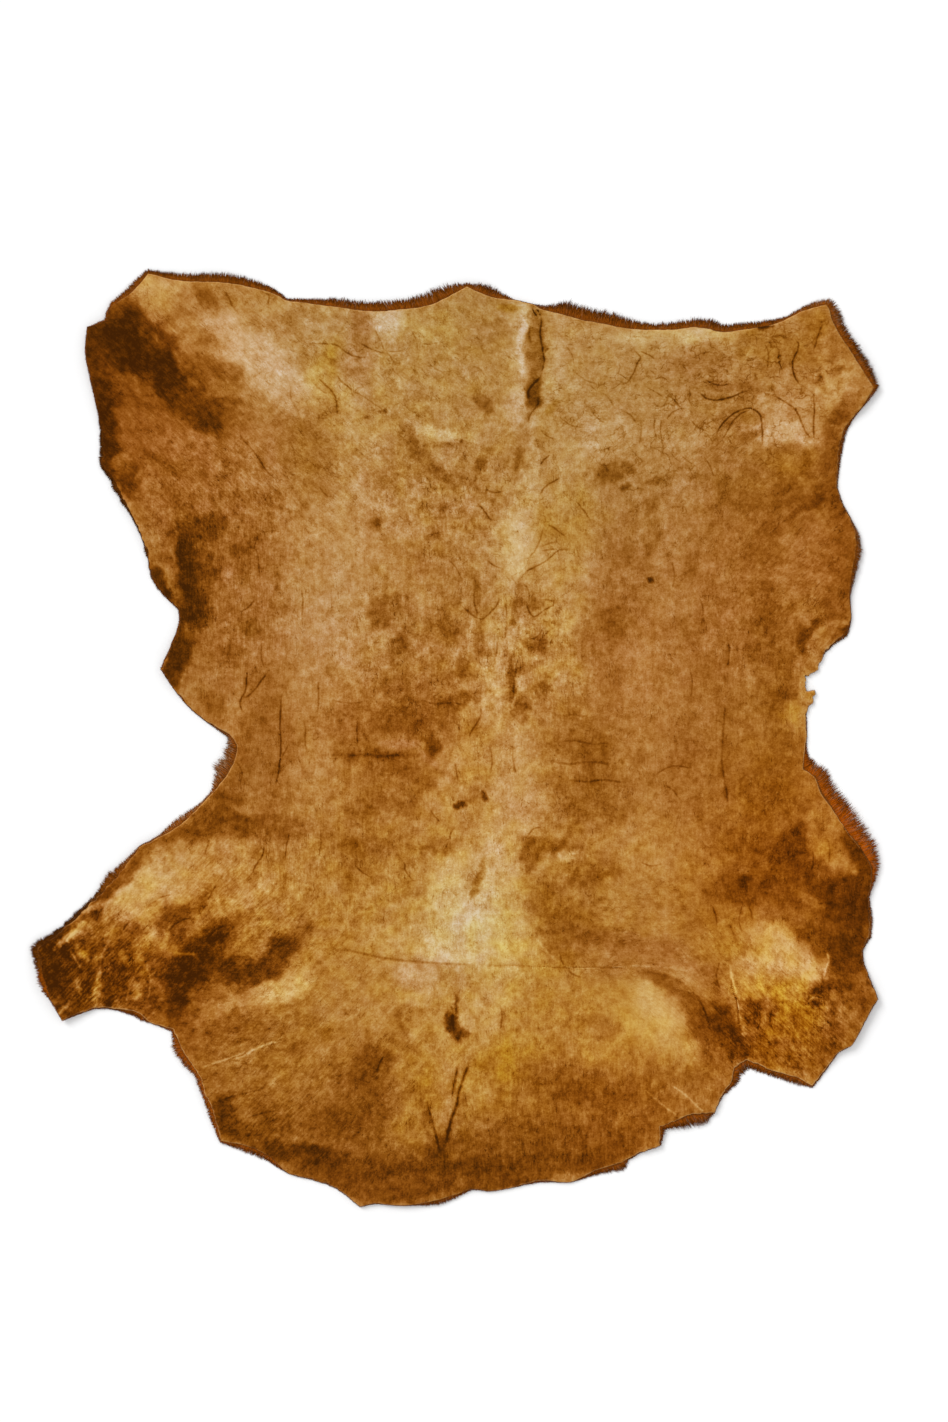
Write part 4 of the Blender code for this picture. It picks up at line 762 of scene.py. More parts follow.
def layered(x, y, size, seed, layers=3, fade=0.5):
    """Noise in ever finer layers; size is the largest one's cell, in metres."""
    total, weight, cell = 0.0, 1.0, size
    for k in range(layers):
        total = total + weight * noise(x / cell, y / cell, seed + 17 * k)
        weight, cell = weight * fade, cell * 0.5
    return total


def smooth(t):
    """0 below 0, 1 above 1, and a smooth rise between."""
    t = np.clip(t, 0.0, 1.0)
    return t * t * (3.0 - 2.0 * t)


# ---- The tables' values at points -----------------------------------------------------

def near(x, y, at_x, at_y, reach):
    """1 at a place and fading to 0 around it; the place and its reach are in millimetres."""
    return np.exp(-((x - at_x * MM) ** 2 + (y - at_y * MM) ** 2) / (reach * MM) ** 2)


def strongest(x, y, places, least=0.0):
    """The greatest of the places' strengths at each point, and least where there is none."""
    result = np.full(len(x), least)
    for at_x, at_y, reach, strength in places:
        result = np.maximum(result, strength * near(x, y, at_x, at_y, reach))
    return result


def blended(x, y, places, start, gain):
    """Values that start at start and change to each place's own around it, place by place.
    A larger gain keeps them unmixed further out. Returns an array for each value."""
    values = np.zeros((len(x), len(start))) + start
    for at_x, at_y, reach, *goal in places:
        weight = np.clip(gain * near(x, y, at_x, at_y, reach), 0.0, 1.0)[:, None]
        values += weight * (np.array(goal) - values)
    return values.T


def flow_angle(x, y):
    """The way the hair grows at each point, in radians from +X."""
    east, north = np.full_like(x, 1e-6), np.zeros_like(x)
    for at_x, at_y, degrees, reach in FLOW:
        weight = near(x, y, at_x, at_y, reach)
        east = east + weight * math.cos(2.0 * math.radians(degrees))
        north = north + weight * math.sin(2.0 * math.radians(degrees))
    return 0.5 * np.arctan2(north, east)


def streaks(x, y, angle, length, width, seed, ways=8):
    """Noise drawn out along the angle at each point."""
    total, weights = 0.0, 0.0
    for k in range(ways):
        way = math.pi * k / ways
        weight = np.maximum(0.0, np.cos(2.0 * (angle - way))) ** 6
        along = x * math.cos(way) + y * math.sin(way)
        across = y * math.cos(way) - x * math.sin(way)
        drawn = (noise(along / length, across / width, seed + k)
                 + 0.6 * noise(along / length * 2.1, across / width * 2.3, seed + 31 + k))
        total = total + weight * drawn
        weights = weights + weight ** 2
    return total / np.sqrt(weights + 1e-9)


# ---- The paint --------------------------------------------------------------------

BARE_TONE = 0.57                         # where no stain reaches
EDGE_CELLS = (0.009, 0.022, 0.055, 0.13)     # how coarsely stains' edges wander, in metres


class Paint:
    """Tone (0 darkest to 1 lightest) and hue (-1 golden to 1 rosy) at points on the skin."""

    def __init__(self, x, y):
        self.x, self.y = x, y
        self.angle = flow_angle(x, y)
        self.tone = np.full_like(x, BARE_TONE)
        self.hue = np.zeros_like(x)
        combed = streaks(x, y, self.angle, 0.060, 0.008, 205)
        self.ragged = {cell: (0.34 * layered(x, y, cell, 101 + int(cell * 1000), 3, 0.45)
                              + 0.15 * combed) for cell in EDGE_CELLS}
        self.drift_x, self.drift_y = (
            0.009 * layered(x, y, 0.07, seed) + 0.004 * layered(x, y, 0.018, seed + 2)
            for seed in (301, 302))

    def add(self, stain):
        """Paints one stain, which drifts and has a ragged edge; a large one's wanders further."""
        at_x, at_y = stain.x * MM, stain.y * MM
        half_length, half_width = stain.half_length * MM, stain.half_width * MM
        size = math.sqrt(half_length * half_width)
        reach = 2.1 * max(half_length, half_width) + 0.012
        spot = np.nonzero((abs(self.x - at_x) < reach) & (abs(self.y - at_y) < reach))[0]
        if not len(spot):
            return
        drift = min(1.0, size / 0.03)
        east = self.x[spot] - at_x + drift * self.drift_x[spot]
        north = self.y[spot] - at_y + drift * self.drift_y[spot]
        c, s = math.cos(math.radians(stain.turn)), math.sin(math.radians(stain.turn))
        gap = np.hypot((east * c + north * s) / half_length, (north * c - east * s) / half_width)
        cell = min(EDGE_CELLS, key=lambda each: abs(math.log(each / (0.8 * size))))
        softness = 0.50 + 0.60 * smooth(size / 0.055)       # small stains have crisper edges
        inward = 1.05 + 0.5 * softness - gap - self.ragged[cell][spot]
        amount = stain.cover * smooth(inward / softness)
        self.tone[spot] += amount * (stain.tone - self.tone[spot])
        self.hue[spot] += amount * (stain.hue - self.hue[spot])

    def finish(self):
        """The mottling over everything: soft clouds, darker blotches, and combed streaks."""
        x, y = self.x, self.y
        clouds = layered(x, y, 0.055, 221, 2)
        drawn_x = x + 0.012 * noise(x / 0.035, y / 0.035, 251)
        drawn_y = y + 0.012 * noise(x / 0.035, y / 0.035, 252)
        blotches = layered(drawn_x, drawn_y, 0.030, 231, 3, 0.55)
        broad = streaks(drawn_x, drawn_y, self.angle, 0.085, 0.013, 241)
        fine = streaks(x, y, self.angle, 0.045, 0.0055, 261)
        self.busy, self.combing = blended(x, y, MOTTLED, (1.0, 0.8), 1.3)
        even = 0.5 + 0.5 * smooth(self.tone / 0.35)         # the darkest stains hide the mottling
        self.tone += even * self.busy * (0.042 * clouds + 0.056 * blotches
                                         - 0.13 * smooth(1.3 * (blotches - 0.25)) + 0.02)
        self.tone += even * self.combing * (0.058 * broad + 0.040 * fine)
        for at_x, at_y, reach, amount in GILDED:
            self.hue -= amount * near(x, y, at_x, at_y, reach)
        self.hue += self.busy * (0.20 * layered(x, y, 0.045, 271, 2) - 0.07 * blotches)


# ---- The hide's shape, read from the CAD solid -----------------------------------------

# The upward part of the normal of a face on the skin, and of any but the sloping rim's
LEVEL = 0.9
NEARLY_LEVEL = 0.8


def grown_outline(start, facing):
    """The outline, as an array of (x, y), of the faces around start that face up or down."""
    found, waiting = {start}, [start]
    while waiting:
        for edge in waiting.pop().edges:
            for face in edge.link_faces:
                if face not in found and face.normal.z * facing > NEARLY_LEVEL:
                    found.add(face)
                    waiting.append(face)
    after = {}
    for face in found:
        for loop in face.loops:
            if any(other not in found for other in loop.edge.link_faces):
                after[loop.vert] = loop.link_loop_next.vert
    loops = []
    while after:
        ring, vert = [], min(after, key=lambda each: each.co.to_tuple())
        while vert in after:
            ring.append(vert.co.to_2d())
            vert = after.pop(vert)
        loops.append(ring)
    ring = np.array(max(loops, key=len))
    return ring if facing > 0 else ring[::-1]


def read_solid(node):
    """The cut edge and the hair's ends (both anticlockwise), and a search tree of the faces."""
    bm = bmesh.new()
    bm.from_mesh(node.data)
    bmesh.ops.remove_doubles(bm, verts=bm.verts, dist=1e-6)
    bm.faces.ensure_lookup_table()
    bm.normal_update()
    tree = BVHTree.FromBMesh(bm)
    outlines = []
    for facing in (1.0, -1.0):
        hit = tree.ray_cast(Vector((0.0, 0.0, facing)), Vector((0.0, 0.0, -facing)))
        outlines.append(grown_outline(bm.faces[hit[2]], facing))
    bm.free()
    return outlines[0], outlines[1], tree


class HeightMap:
    """How far the hide is lifted off the surface, smoothed, at any x, y."""

    def __init__(self, tree, cell=0.012, spread=0.028, margin=0.06):
        self.cell = cell
        self.low = np.array(cad_low)[:2] - margin
        count = np.ceil((np.array(cad_high)[:2] + margin - self.low) / cell).astype(int) + 1
        height = np.zeros(count)
        known = np.zeros(count)
        down = Vector((0.0, 0.0, -1.0))
        for i in range(count[0]):
            for j in range(count[1]):
                above = Vector((self.low[0] + i * cell, self.low[1] + j * cell, 1.0))
                place, normal = tree.ray_cast(above, down)[:2]
                # the solid's sloping rim is left out, because it is lower than the leather
                if place is None or normal.z <= LEVEL or place.z <= LEATHER + PILE - 0.5 * MM:
                    continue
                height[i, j] = place.z - LEATHER - PILE
                known[i, j] = 1.0
        reach = int(3 * spread / cell)
        kernel = np.exp(-((np.arange(-reach, reach + 1) * cell / spread) ** 2))
        for axis in (0, 1):
            height, known = (np.apply_along_axis(np.convolve, axis, grid, kernel, "same")
                             for grid in (height, known))
        self.height = height / np.maximum(known, 1e-6)

    def __call__(self, x, y):
        """The lift at each point, between the four nearest of the map's."""
        u, v = (x - self.low[0]) / self.cell, (y - self.low[1]) / self.cell
        u = np.clip(u, 0, self.height.shape[0] - 1.001)
        v = np.clip(v, 0, self.height.shape[1] - 1.001)
        i, j = u.astype(int), v.astype(int)
        u, v = u - i, v - j
        grid = self.height
        return ((grid[i, j] * (1 - u) + grid[i + 1, j] * u) * (1 - v)
                + (grid[i, j + 1] * (1 - u) + grid[i + 1, j + 1] * u) * v)


# ---- Rings, ways and points -------------------------------------------------------------

def unit(vectors):
    """Each vector at a length of 1."""
    return vectors / np.maximum(np.linalg.norm(vectors, axis=1, keepdims=True), 1e-12)


def turned_right(ways):
    """Each way turned clockwise by a right angle."""
    return np.stack([ways[:, 1], -ways[:, 0]], 1)


def turned(ways, angles):
    """Each way turned anticlockwise by its own angle."""
    c, s = np.cos(angles), np.sin(angles)
    return np.column_stack([ways[:, 0] * c - ways[:, 1] * s, ways[:, 0] * s + ways[:, 1] * c])


def curve(before, start, end, after, step):
    """Points about step apart from start up to end, on a smooth curve through all four."""
    for t in np.arange(0.0, 1.0, 1.0 / max(1, round(np.linalg.norm(end - start) / step))):
        yield 0.5 * (2.0 * start + (end - before) * t
                     + (2.0 * before - 5.0 * start + 4.0 * end - after) * t ** 2
                     + (3.0 * start - before - 3.0 * end + after) * t ** 3)


def rounded(ring, step):
    """The ring as a smooth curve that breaks at its corners, with points about step apart."""
    ahead = np.roll(ring, -1, axis=0) - ring
    way = np.arctan2(ahead[:, 1], ahead[:, 0])
    turn = np.abs((way - np.roll(way, 1) + math.pi) % (2.0 * math.pi) - math.pi)
    corner = turn > CORNER_TURN
    points = []
    for i, start in enumerate(ring):
        k = (i + 1) % len(ring)
        end = ring[k]
        before = 2.0 * start - end if corner[i] else ring[i - 1]
        after = 2.0 * end - start if corner[k] else ring[(i + 2) % len(ring)]
        points.extend(curve(before, start, end, after, step))
    return np.array(points)


def outward(ring, smoothing):
    """The way out, square to the ring, averaged over so many points each way."""
    along = np.roll(ring, -1, axis=0) - np.roll(ring, 1, axis=0)
    out = unit(turned_right(along))
    total = sum(np.roll(out, k, axis=0) for k in range(-smoothing, smoothing + 1))
    return unit(total)


def inside(ring, points):
    """Which of the points lie inside the closed ring."""
    result = np.zeros(len(points), dtype=bool)
    for (x0, y0), (x1, y1) in zip(ring, np.roll(ring, -1, axis=0)):
        if y0 == y1:
            continue
        spot = np.nonzero((y0 > points[:, 1]) != (y1 > points[:, 1]))[0]
        at_x = x0 + (points[spot, 1] - y0) * (x1 - x0) / (y1 - y0)
        result[spot] ^= points[spot, 0] < at_x
    return result


def gap_to(points, others):
    """Each point's distance to the nearest of the others."""
    tree = KDTree(len(others))
    for index, (x, y) in enumerate(others):
        tree.insert((x, y, 0.0), index)
    tree.balance()
    return np.array([tree.find((x, y, 0.0))[2] for x, y in points])


def gap_to_ring(points, ring):
    """Each point's distance to the ring's nearest side."""
    best = np.full(len(points), np.inf)
    for start, end in zip(ring, np.roll(ring, -1, axis=0)):
        step = end - start
        share = np.clip((points - start) @ step / max(step @ step, 1e-12), 0.0, 1.0)
        best = np.minimum(best, np.linalg.norm(points - start - share[:, None] * step, axis=1))
    return best


def thinned(rows, least):
    """The rows without those whose (x, y) is too close to an earlier one's."""
    taken = {}
    kept = []
    for index, (x, y) in enumerate(rows[:, :2]):
        cell = (int(x // least), int(y // least))
        crowd = [other for i in (-1, 0, 1) for j in (-1, 0, 1)
                 for other in taken.get((cell[0] + i, cell[1] + j), ())]
        if all(math.hypot(x - a, y - b) >= least for a, b in crowd):
            taken.setdefault(cell, []).append((x, y))
            kept.append(index)
    return rows[kept]


def staggered(rim, step, wander, seed):
    """Points inside the rim in staggered rows, each moved a little way off its place."""
    low, high = rim.min(axis=0), rim.max(axis=0)
    row_step = step * math.sqrt(3.0) / 2.0
    j, i = np.mgrid[0:int((high[1] - low[1]) / row_step) + 1,
                    0:int((high[0] - low[0]) / step) + 1]
    x = low[0] + (i + 0.5 * (j % 2)) * step + wander * (lattice(i, j, seed) - 0.5)
    y = low[1] + j * row_step + wander * (lattice(i, j, seed + 1) - 0.5)
    points = np.stack([x.ravel(), y.ravel()], 1)
    return points[inside(rim, points)]


def filling(rim, others, step, wander, clear, seed):
    """Staggered points inside the rim that stay clear of the others."""
    points = staggered(rim, step, wander, seed)
    return points[gap_to(points, others) > clear]


# ---- Meshes -----------------------------------------------------------------------------

def triangles_in(points, ring_count, facing_up):
    """Triangles that fill the ring made by the first ring_count points."""
    flat = [Vector(p) for p in points]
    found = delaunay_2d_cdt(flat, [], [list(range(ring_count))], 1, 1e-9)
    if len(found[0]) != len(points):
        raise ValueError(f"the triangulation changed {len(points)} points to {len(found[0])}")
    corners = np.array(found[2])
    a, b, c = (points[corners[:, k]] for k in range(3))
    left = ((b[:, 0] - a[:, 0]) * (c[:, 1] - a[:, 1])
            - (b[:, 1] - a[:, 1]) * (c[:, 0] - a[:, 0])) > 0
    flip = left != facing_up
    corners[flip] = corners[flip][:, ::-1]
    return corners


def band_faces(upper, lower, count):
    """Quads between two rings of the same count, anticlockwise, facing out."""
    i = np.arange(count)
    k = (i + 1) % count
    return np.column_stack([lower + i, lower + k, upper + k, upper + i])


def new_piece(name, points, faces, material):
    """A mesh object that rides on the hide's body; faces is a list of index arrays."""
    mesh = bpy.data.meshes.new(name)
    sizes = np.concatenate([np.full(len(part), part.shape[1]) for part in faces])
    corners = np.concatenate([part.ravel() for part in faces])
    mesh.vertices.add(len(points))
    mesh.vertices.foreach_set("co", np.asarray(points, dtype=np.float32).ravel())
    mesh.loops.add(len(corners))
    mesh.loops.foreach_set("vertex_index", corners.astype(np.int32))
    mesh.polygons.add(len(sizes))
    mesh.polygons.foreach_set("loop_start", (np.cumsum(sizes) - sizes).astype(np.int32))
    mesh.update(calc_edges=True)
    mesh.validate()
    mesh.shade_smooth()
    mesh.materials.append(material)
    piece = bpy.data.objects.new(name, mesh)
    bpy.context.scene.collection.objects.link(piece)
    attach(piece, "root")
    return piece


def add_map(piece, faces, places):
    """Lays the faces out on a flat map, for a bake; places has a (u, v) pair for each vertex,
    or is a list of such arrays, one for each array of faces."""
    if not isinstance(places, list):
        places = [places] * len(faces)
    corners = np.concatenate([place[part.ravel()] for place, part in zip(places, faces)])
    layer = piece.data.uv_layers.new(name="OFBake", do_init=False)
    layer.uv.foreach_set("vector", corners.astype(np.float32).ravel())


def new_sheet(name, top, bottom, count, material, upper_seen):
    """A closed sheet from the (x, y, z) points of its upper and its lower side, each with the
    count points of its rim first. The seen side has most of the map, and the other a strip."""
    faces = [triangles_in(top[:, :2], count, True),
             triangles_in(bottom[:, :2], count, False) + len(top),
             band_faces(0, len(top), count)]
    points = np.vstack([top, bottom])
    piece = new_piece(name, points, faces, material)
    low, high = points[:, :2].min(axis=0), points[:, :2].max(axis=0)
    share = (points[:, :2] - low) / (high - low)
    wide = 0.004 + share * (0.896, 0.992)
    strip = np.array((0.908, 0.004)) + share * (0.088, 0.992)
    add_map(piece, faces, [wide, strip, wide] if upper_seen else [strip, wide, wide])
    return piece, points


def add_values(piece, **values):
    """Stores numbers (or sets of 4) on the piece's vertices, by name."""
    for name, array in values.items():
        kind, field = ("FLOAT", "value") if array.ndim == 1 else ("FLOAT_COLOR", "color")
        layer = piece.data.attributes.new(name, kind, "POINT")
        layer.data.foreach_set(field, np.ascontiguousarray(array, dtype=np.float32).ravel())


# ---- The skin -----------------------------------------------------------------------

def waves(x, y):
    """The skin's low, broad waves."""
    return 0.9 * MM * layered(x, y, 0.085, 401, 2, 0.5)


def relief(x, y):
    """The shown side's unevenness: the waves, with small puckers and streaks on them."""
    combed = streaks(x, y, flow_angle(x, y), 0.060, 0.016, 405)
    return waves(x, y) + 0.28 * MM * layered(x, y, 0.022, 402, 2, 0.6) + 0.16 * MM * combed


def torn_edge(ring):
    """The cut edge with the small bites and nicks of a real one."""
    x, y = ring.T
    torn = strongest(x, y, TORN)
    move = (0.9 + 3.0 * torn) * MM * layered(x, y, 0.019, 501, 3, 0.6) - 1.2 * MM * torn
    return ring + outward(ring, 1) * move[:, None]


def crease_path(crease):
    """The crease's path in metres, with points CREASE_STEP apart."""
    path = np.array(crease.path.split(), dtype=float).reshape(-1, 2) * MM
    padded = np.vstack([2.0 * path[0] - path[1], path, 2.0 * path[-1] - path[-2]])
    points = []
    for before, start, end, after in zip(padded, padded[1:], padded[2:], padded[3:]):
        points.extend(curve(before, start, end, after, CREASE_STEP))
    points.append(path[-1])
    return np.array(points)


def crease_rows(crease, sign):
    """Rows of (x, y, mark, depth) along a crease and beside it; it fades out at both
    ends. The third value is a crease's vein colour and painted shade, and a ridge's painted
    highlight.
    """
    path = crease_path(crease)
    share = np.linspace(0.0, 1.0, len(path))
    strength = smooth(share / CREASE_FADE) * smooth((1.0 - share) / CREASE_FADE)
    uneven = 0.8 + 0.35 * noise(path[:, 0] / 0.011, path[:, 1] / 0.011, 611)
    strength = np.maximum(strength, 0.12) * uneven
    wander = 0.9 * MM / max(1.0, 0.5 * crease.half_width)
    x, y = path.T / 0.009
    path = path + wander * np.stack([noise(x, y, 612), noise(x, y, 613)], 1)
    side = unit(turned_right(np.gradient(path, axis=0)))
    width = np.maximum(1.3 * crease.half_width * MM * (0.75 + 0.5 * strength), 1.5 * MM)
    rows = []
    for across, part in ((0.0, 1.0), (-1.0, 0.1), (1.0, 0.1)):
        rows.append(np.column_stack([path + across * width[:, None] * side,
                                     sign * crease.mark * strength * part,
                                     sign * crease.depth * MM * strength * part]))
    return np.vstack(rows)


def all_creases(rim, edge_points):
    """The rows of all creases and ridges, clear of one another and of the edge's points."""
    rows = np.vstack([crease_rows(Crease(*values), sign)
                      for groups, sign in ((CREASES, 1.0), (RIDGES, -1.0))
                      for group in groups.values() for values in group])
    rows = thinned(rows[inside(rim, rows[:, :2])], LEAST_GAP)
    return rows[gap_to(rows[:, :2], edge_points) > EDGE_GAP]


def paint_skin(skin, points, mark, cut):
    """Stores what the leather's material shows at each point."""
    x, y = points[:, 0], points[:, 1]
    paint = Paint(x, y)
    for region in STAINS.values():
        for values in region:
            paint.add(Stain(*values))
    paint.finish()
    ways = [np.maximum(0.0, np.cos(2.0 * (paint.angle - math.pi * k / 4.0))) for k in range(4)]
    add_values(skin, tone=paint.tone, golden=np.maximum(-paint.hue, 0.0),
               rosy=np.maximum(paint.hue, 0.0), chalk=strongest(x, y, CHALK),
               wrinkled=strongest(x, y, WRINKLED, 0.15), busy=paint.busy, combing=paint.combing,
               mark=mark, cut=cut, pale=blended(x, y, PALE_CUT, (0.05,), 1.6)[0],
               ruddy=strongest(x, y, RUDDY), flow=np.stack(ways, 1))


def make_skin(edge, lift, material):
    """The leather: its shown and hidden sides, and the cut edge between. Returns its rim too."""
    rim = torn_edge(rounded(edge, EDGE_STEP))
    count = len(rim)
    top_rim = rim - outward(rim, 1) * CUT_WIDTH
    border = thinned(top_rim - outward(rim, 1) * BORDER, LEAST_GAP)
    border = border[gap_to(border, top_rim) > 1.2 * MM]
    edge_points = np.vstack([top_rim, border])
    rows = all_creases(rim, edge_points)
    fixed = np.vstack([edge_points, rows[:, :2]])
    field = filling(rim, fixed, FIELD_STEP, 0.35 * FIELD_STEP, 0.52 * FIELD_STEP, 521)
    top = np.vstack([fixed, field])
    bottom = np.vstack([rim, filling(rim, rim, UNDER_STEP, 0.0, 0.45 * UNDER_STEP, 531)])

    # the creases' lines carry vein colour and painted shade, and the ridges' a painted highlight,
    # beside their depths
    mark, sunk = np.zeros(len(top) + len(bottom)), np.zeros(len(top))
    creased = slice(len(edge_points), len(fixed))
    mark[creased], sunk[creased] = rows[:, 2], rows[:, 3]
    top_z = PILE + lift(*top.T) + relief(*top.T) + LEATHER - sunk
    top_z[:count] -= CUT_DROP
    bottom_z = PILE + lift(*bottom.T) + waves(*bottom.T)
    bottom_z[:count] = PILE + lift(*rim.T) + relief(*rim.T) + CUT_LIFT
    skin, points = new_sheet("skin", np.column_stack([top, top_z]),
                             np.column_stack([bottom, bottom_z]), count, material, True)

    cut = np.zeros(len(points))
    cut[:count] = 0.5
    cut[len(top):len(top) + count] = 1.0
    paint_skin(skin, points, mark, cut)
    return skin, rim


# ---- The hair -----------------------------------------------------------------------

def colour(red, green, blue):
    """A colour as it is seen, 0 to 255, in the linear values that a shader takes."""
    seen = np.array((red, green, blue)) / 255.0
    return np.where(seen <= 0.04045, seen / 12.92, ((seen + 0.055) / 1.055) ** 2.4)


HAIR_BROWN = colour(134, 72, 12)
HAIR_ORANGE = colour(176, 84, 4)
HAIR_DARK = colour(58, 29, 6)
HAIR_PALE = colour(186, 152, 116)
HAIR_UNDER = colour(130, 70, 18)


def add_hair_colour(piece, shade):
    """Stores the colour that the hair's material shows at each point."""
    add_values(piece, hair=np.column_stack([shade, np.ones(len(shade))]))


def hair_way(x, y):
    """The way the hair lies under the hide: from the neck to the tail and down the legs."""
    way = np.stack([0.9 * x * np.abs(x) + 0.25 * noise(x / 0.10, y / 0.10, 701),
                    -0.8 + 0.25 * noise(x / 0.10, y / 0.10, 702)], 1)
    return unit(way)


def points_each(sections):
    """How many points a lock has: three for each section, and its tip."""
    return 3 * len(sections) + 1


def locks(root, way, length, width, thickness, low_root, low_tip, bend, ridge_up, sections):
    """Flat tapered locks of hair, each a closed shape on three sides.
    Returns points, triangles and each point's share of the way to the tip."""
    count, each = len(root), points_each(sections)
    side = turned_right(way)
    points = np.zeros((count, each, 3))
    along = np.zeros((count, each))

    def middle(t):
        plan = root + way * (length * t)[:, None] + side * (bend * length * t ** 2)[:, None]
        return np.column_stack([plan, low_root + (low_tip - low_root) * t ** 1.2])

    for ring, (t, share) in enumerate(sections):
        half = 0.5 * width * share
        for corner, (across, up) in enumerate(((-1.0, 0.0), (1.0, 0.0), (0.0, 1.0))):
            place = middle(t)
            place[:, :2] += side * (half * across)[:, None]
            place[:, 2] += thickness * share * (up if ridge_up else 1.0 - up)
            points[:, 3 * ring + corner] = place
            along[:, 3 * ring + corner] = t
    tip = middle(1.0)
    tip[:, 2] += 0.3 * thickness * sections[-1][1]
    points[:, -1] = tip
    along[:, -1] = 1.0

    pattern = [(0, 1, 2)]
    for a in range(0, 3 * (len(sections) - 1), 3):
        b = a + 3
        for k in range(3):
            m = (k + 1) % 3
            pattern += [(a + k, b + k, b + m), (a + k, b + m, a + m)]
    last = each - 4
    pattern += [(last + k, last + 3, last + (k + 1) % 3) for k in range(3)]
    pattern = np.array(pattern)
    if not ridge_up:
        pattern = pattern[:, ::-1]
    faces = (pattern[None] + (np.arange(count) * each)[:, None, None]).reshape(-1, 3)
    return points.reshape(-1, 3), faces, along.ravel()


def lock_map(count, sections):
    """A small square of the map for each lock, laid out in rows."""
    across = np.array([0.0, 1.0, 0.5] * len(sections) + [0.5])
    along = np.repeat([t for t, _ in sections] + [1.0], [3] * len(sections) + [1])
    along[:2] += 0.06                                  # so that the root's end has some width
    side = math.ceil(math.sqrt(count))
    column, row = np.arange(count)[:, None] % side, np.arange(count)[:, None] // side
    places = np.stack([column + 0.12 + 0.76 * across, row + 0.08 + 0.84 * along], 2)
    return places.reshape(-1, 2) / side


def fringe_look(x, y):
    """FRINGE's four values at each place, with the lean in radians."""
    places = [(*place[:6], math.radians(place[6])) for place in FRINGE]
    return blended(x, y, places, (0.25, 0.45, 0.1, 0.0), 1.5)


def hair_reach(places, hair_ends):
    """How far the hair reaches past the cut edge."""
    x, y = places.T
    reach = gap_to_ring(places, hair_ends)
    for at_x, at_y, spread in BARE:
        reach *= 1.0 - np.clip(2.0 * near(x, y, at_x, at_y, spread), 0.0, 1.0)
    return reach


def tuft_reach(x, y):
    """How much further the tufts reach."""
    extra = np.zeros(len(x))
    uneven = 0.9 + 0.8 * noise(x / 0.012, y / 0.012, 715)
    for at_x, at_y, spread, more in TUFTS:
        extra += more * MM * near(x, y, at_x, at_y, spread) * uneven
    return extra


def ring_places(ring, step, seed):
    """Places about step apart along a ring, with their own way out."""
    ends = np.roll(ring, -1, axis=0)
    run = np.concatenate([[0.0], np.cumsum(np.linalg.norm(ends - ring, axis=1))])
    count = int(run[-1] / step)
    k = np.arange(count)
    at = (k + 0.9 * lattice(k, 0, seed)) / count * run[-1]
    out = outward(ring, 5)
    place, way = (np.column_stack([np.interp(at, run, [*values, values[0]]) for values in xy.T])
                  for xy in (ring, out))
    return place, unit(way)


def fringe_colour(look, chance, shade_noise, darkness, length, along):
    """The colour of each point of a layer's locks, from the root's to the tip's."""
    orange, dark, pale = (values[:, None] for values in look)
    tone = HAIR_BROWN + np.maximum(orange, 0.0) * (HAIR_ORANGE - HAIR_BROWN) \
        + np.maximum(-orange, 0.0) * (HAIR_DARK - HAIR_BROWN)
    tone = tone * (darkness * (0.72 + 0.5 * chance[5] + 0.16 * shade_noise))[:, None]
    tip = np.where(chance[2][:, None] < pale, HAIR_PALE * (0.6 + 0.4 * chance[3])[:, None],
                   tone + dark * (HAIR_DARK - tone))
    each = len(along) // len(length)
    hidden = np.repeat(TUCKED / length, each)
    to_tip = (along - hidden) / np.maximum(1.0 - hidden, 1e-6)
    to_tip = smooth(to_tip * 1.25 - 0.35)[:, None]
    return np.repeat(tone, each, axis=0) * (1 - to_tip) + np.repeat(tip, each, axis=0) * to_tip


def fringe_layer(rim, hair_ends, lift, share, height, darkness, step, fine, seed):
    """One layer of the fringe's locks, from under the skin's edge: points, triangles, colours."""
    place, way = ring_places(rim, step, seed)
    x, y = place.T
    chance = [lattice(np.arange(len(place)), 1, seed + n) for n in range(6)]
    orange, dark, pale, lean = fringe_look(x, y)
    reach = hair_reach(place, hair_ends)
    reach = np.median([np.roll(reach, n) for n in (-2, -1, 0, 1, 2)], axis=0)
    extra = tuft_reach(x, y)
    reach = np.maximum(reach, 1.5 * MM) + extra
    tuft = noise(x / 0.011, y / 0.011, seed + 7)
    swing = lean + 0.40 * tuft + 0.30 * (chance[0] - 0.5) + 0.25 * noise(x / 0.035, y / 0.035, 711)
    way = turned(way, swing)
    length = TUCKED + reach * share * (0.80 + 0.26 * chance[1] + 0.16 * tuft)
    root = place - way * TUCKED
    tip = root + way * length[:, None]
    astray = ~inside(hair_ends, tip) & (gap_to_ring(tip, hair_ends) > STRAY + 0.5 * extra)
    covered = inside(rim, root + way * (TUCKED + 1.5 * MM + 0.3 * reach)[:, None])
    kept = ~astray & ~covered
    place, way, root, reach, length, orange, dark, pale, tuft, *chance = (
        values[kept]
        for values in (place, way, root, reach, length, orange, dark, pale, tuft, *chance))

    x, y = place.T
    width = (0.8 + 0.9 * chance[2]) * MM if fine else (1.8 + 2.0 * chance[2]) * MM
    width = width * np.clip(reach / (9.0 * MM), 0.45, 1.0)
    base = lift(x, y)
    tip_height = np.clip(height * (0.3 + 0.5 * chance[3]), LOWEST_TIP, None)
    bend = 0.30 * (chance[4] - 0.5) + 0.22 * tuft
    points, triangles, along = locks(
        root, way, length, width, (0.5 if fine else 0.9) * MM, base + height * 0.85,
        base + tip_height, bend, True, LOCK_SECTIONS)
    shade = fringe_colour((orange, dark, pale), chance, noise(x / 0.02, y / 0.02, 731),
                          darkness, length, along)
    return points, triangles, shade


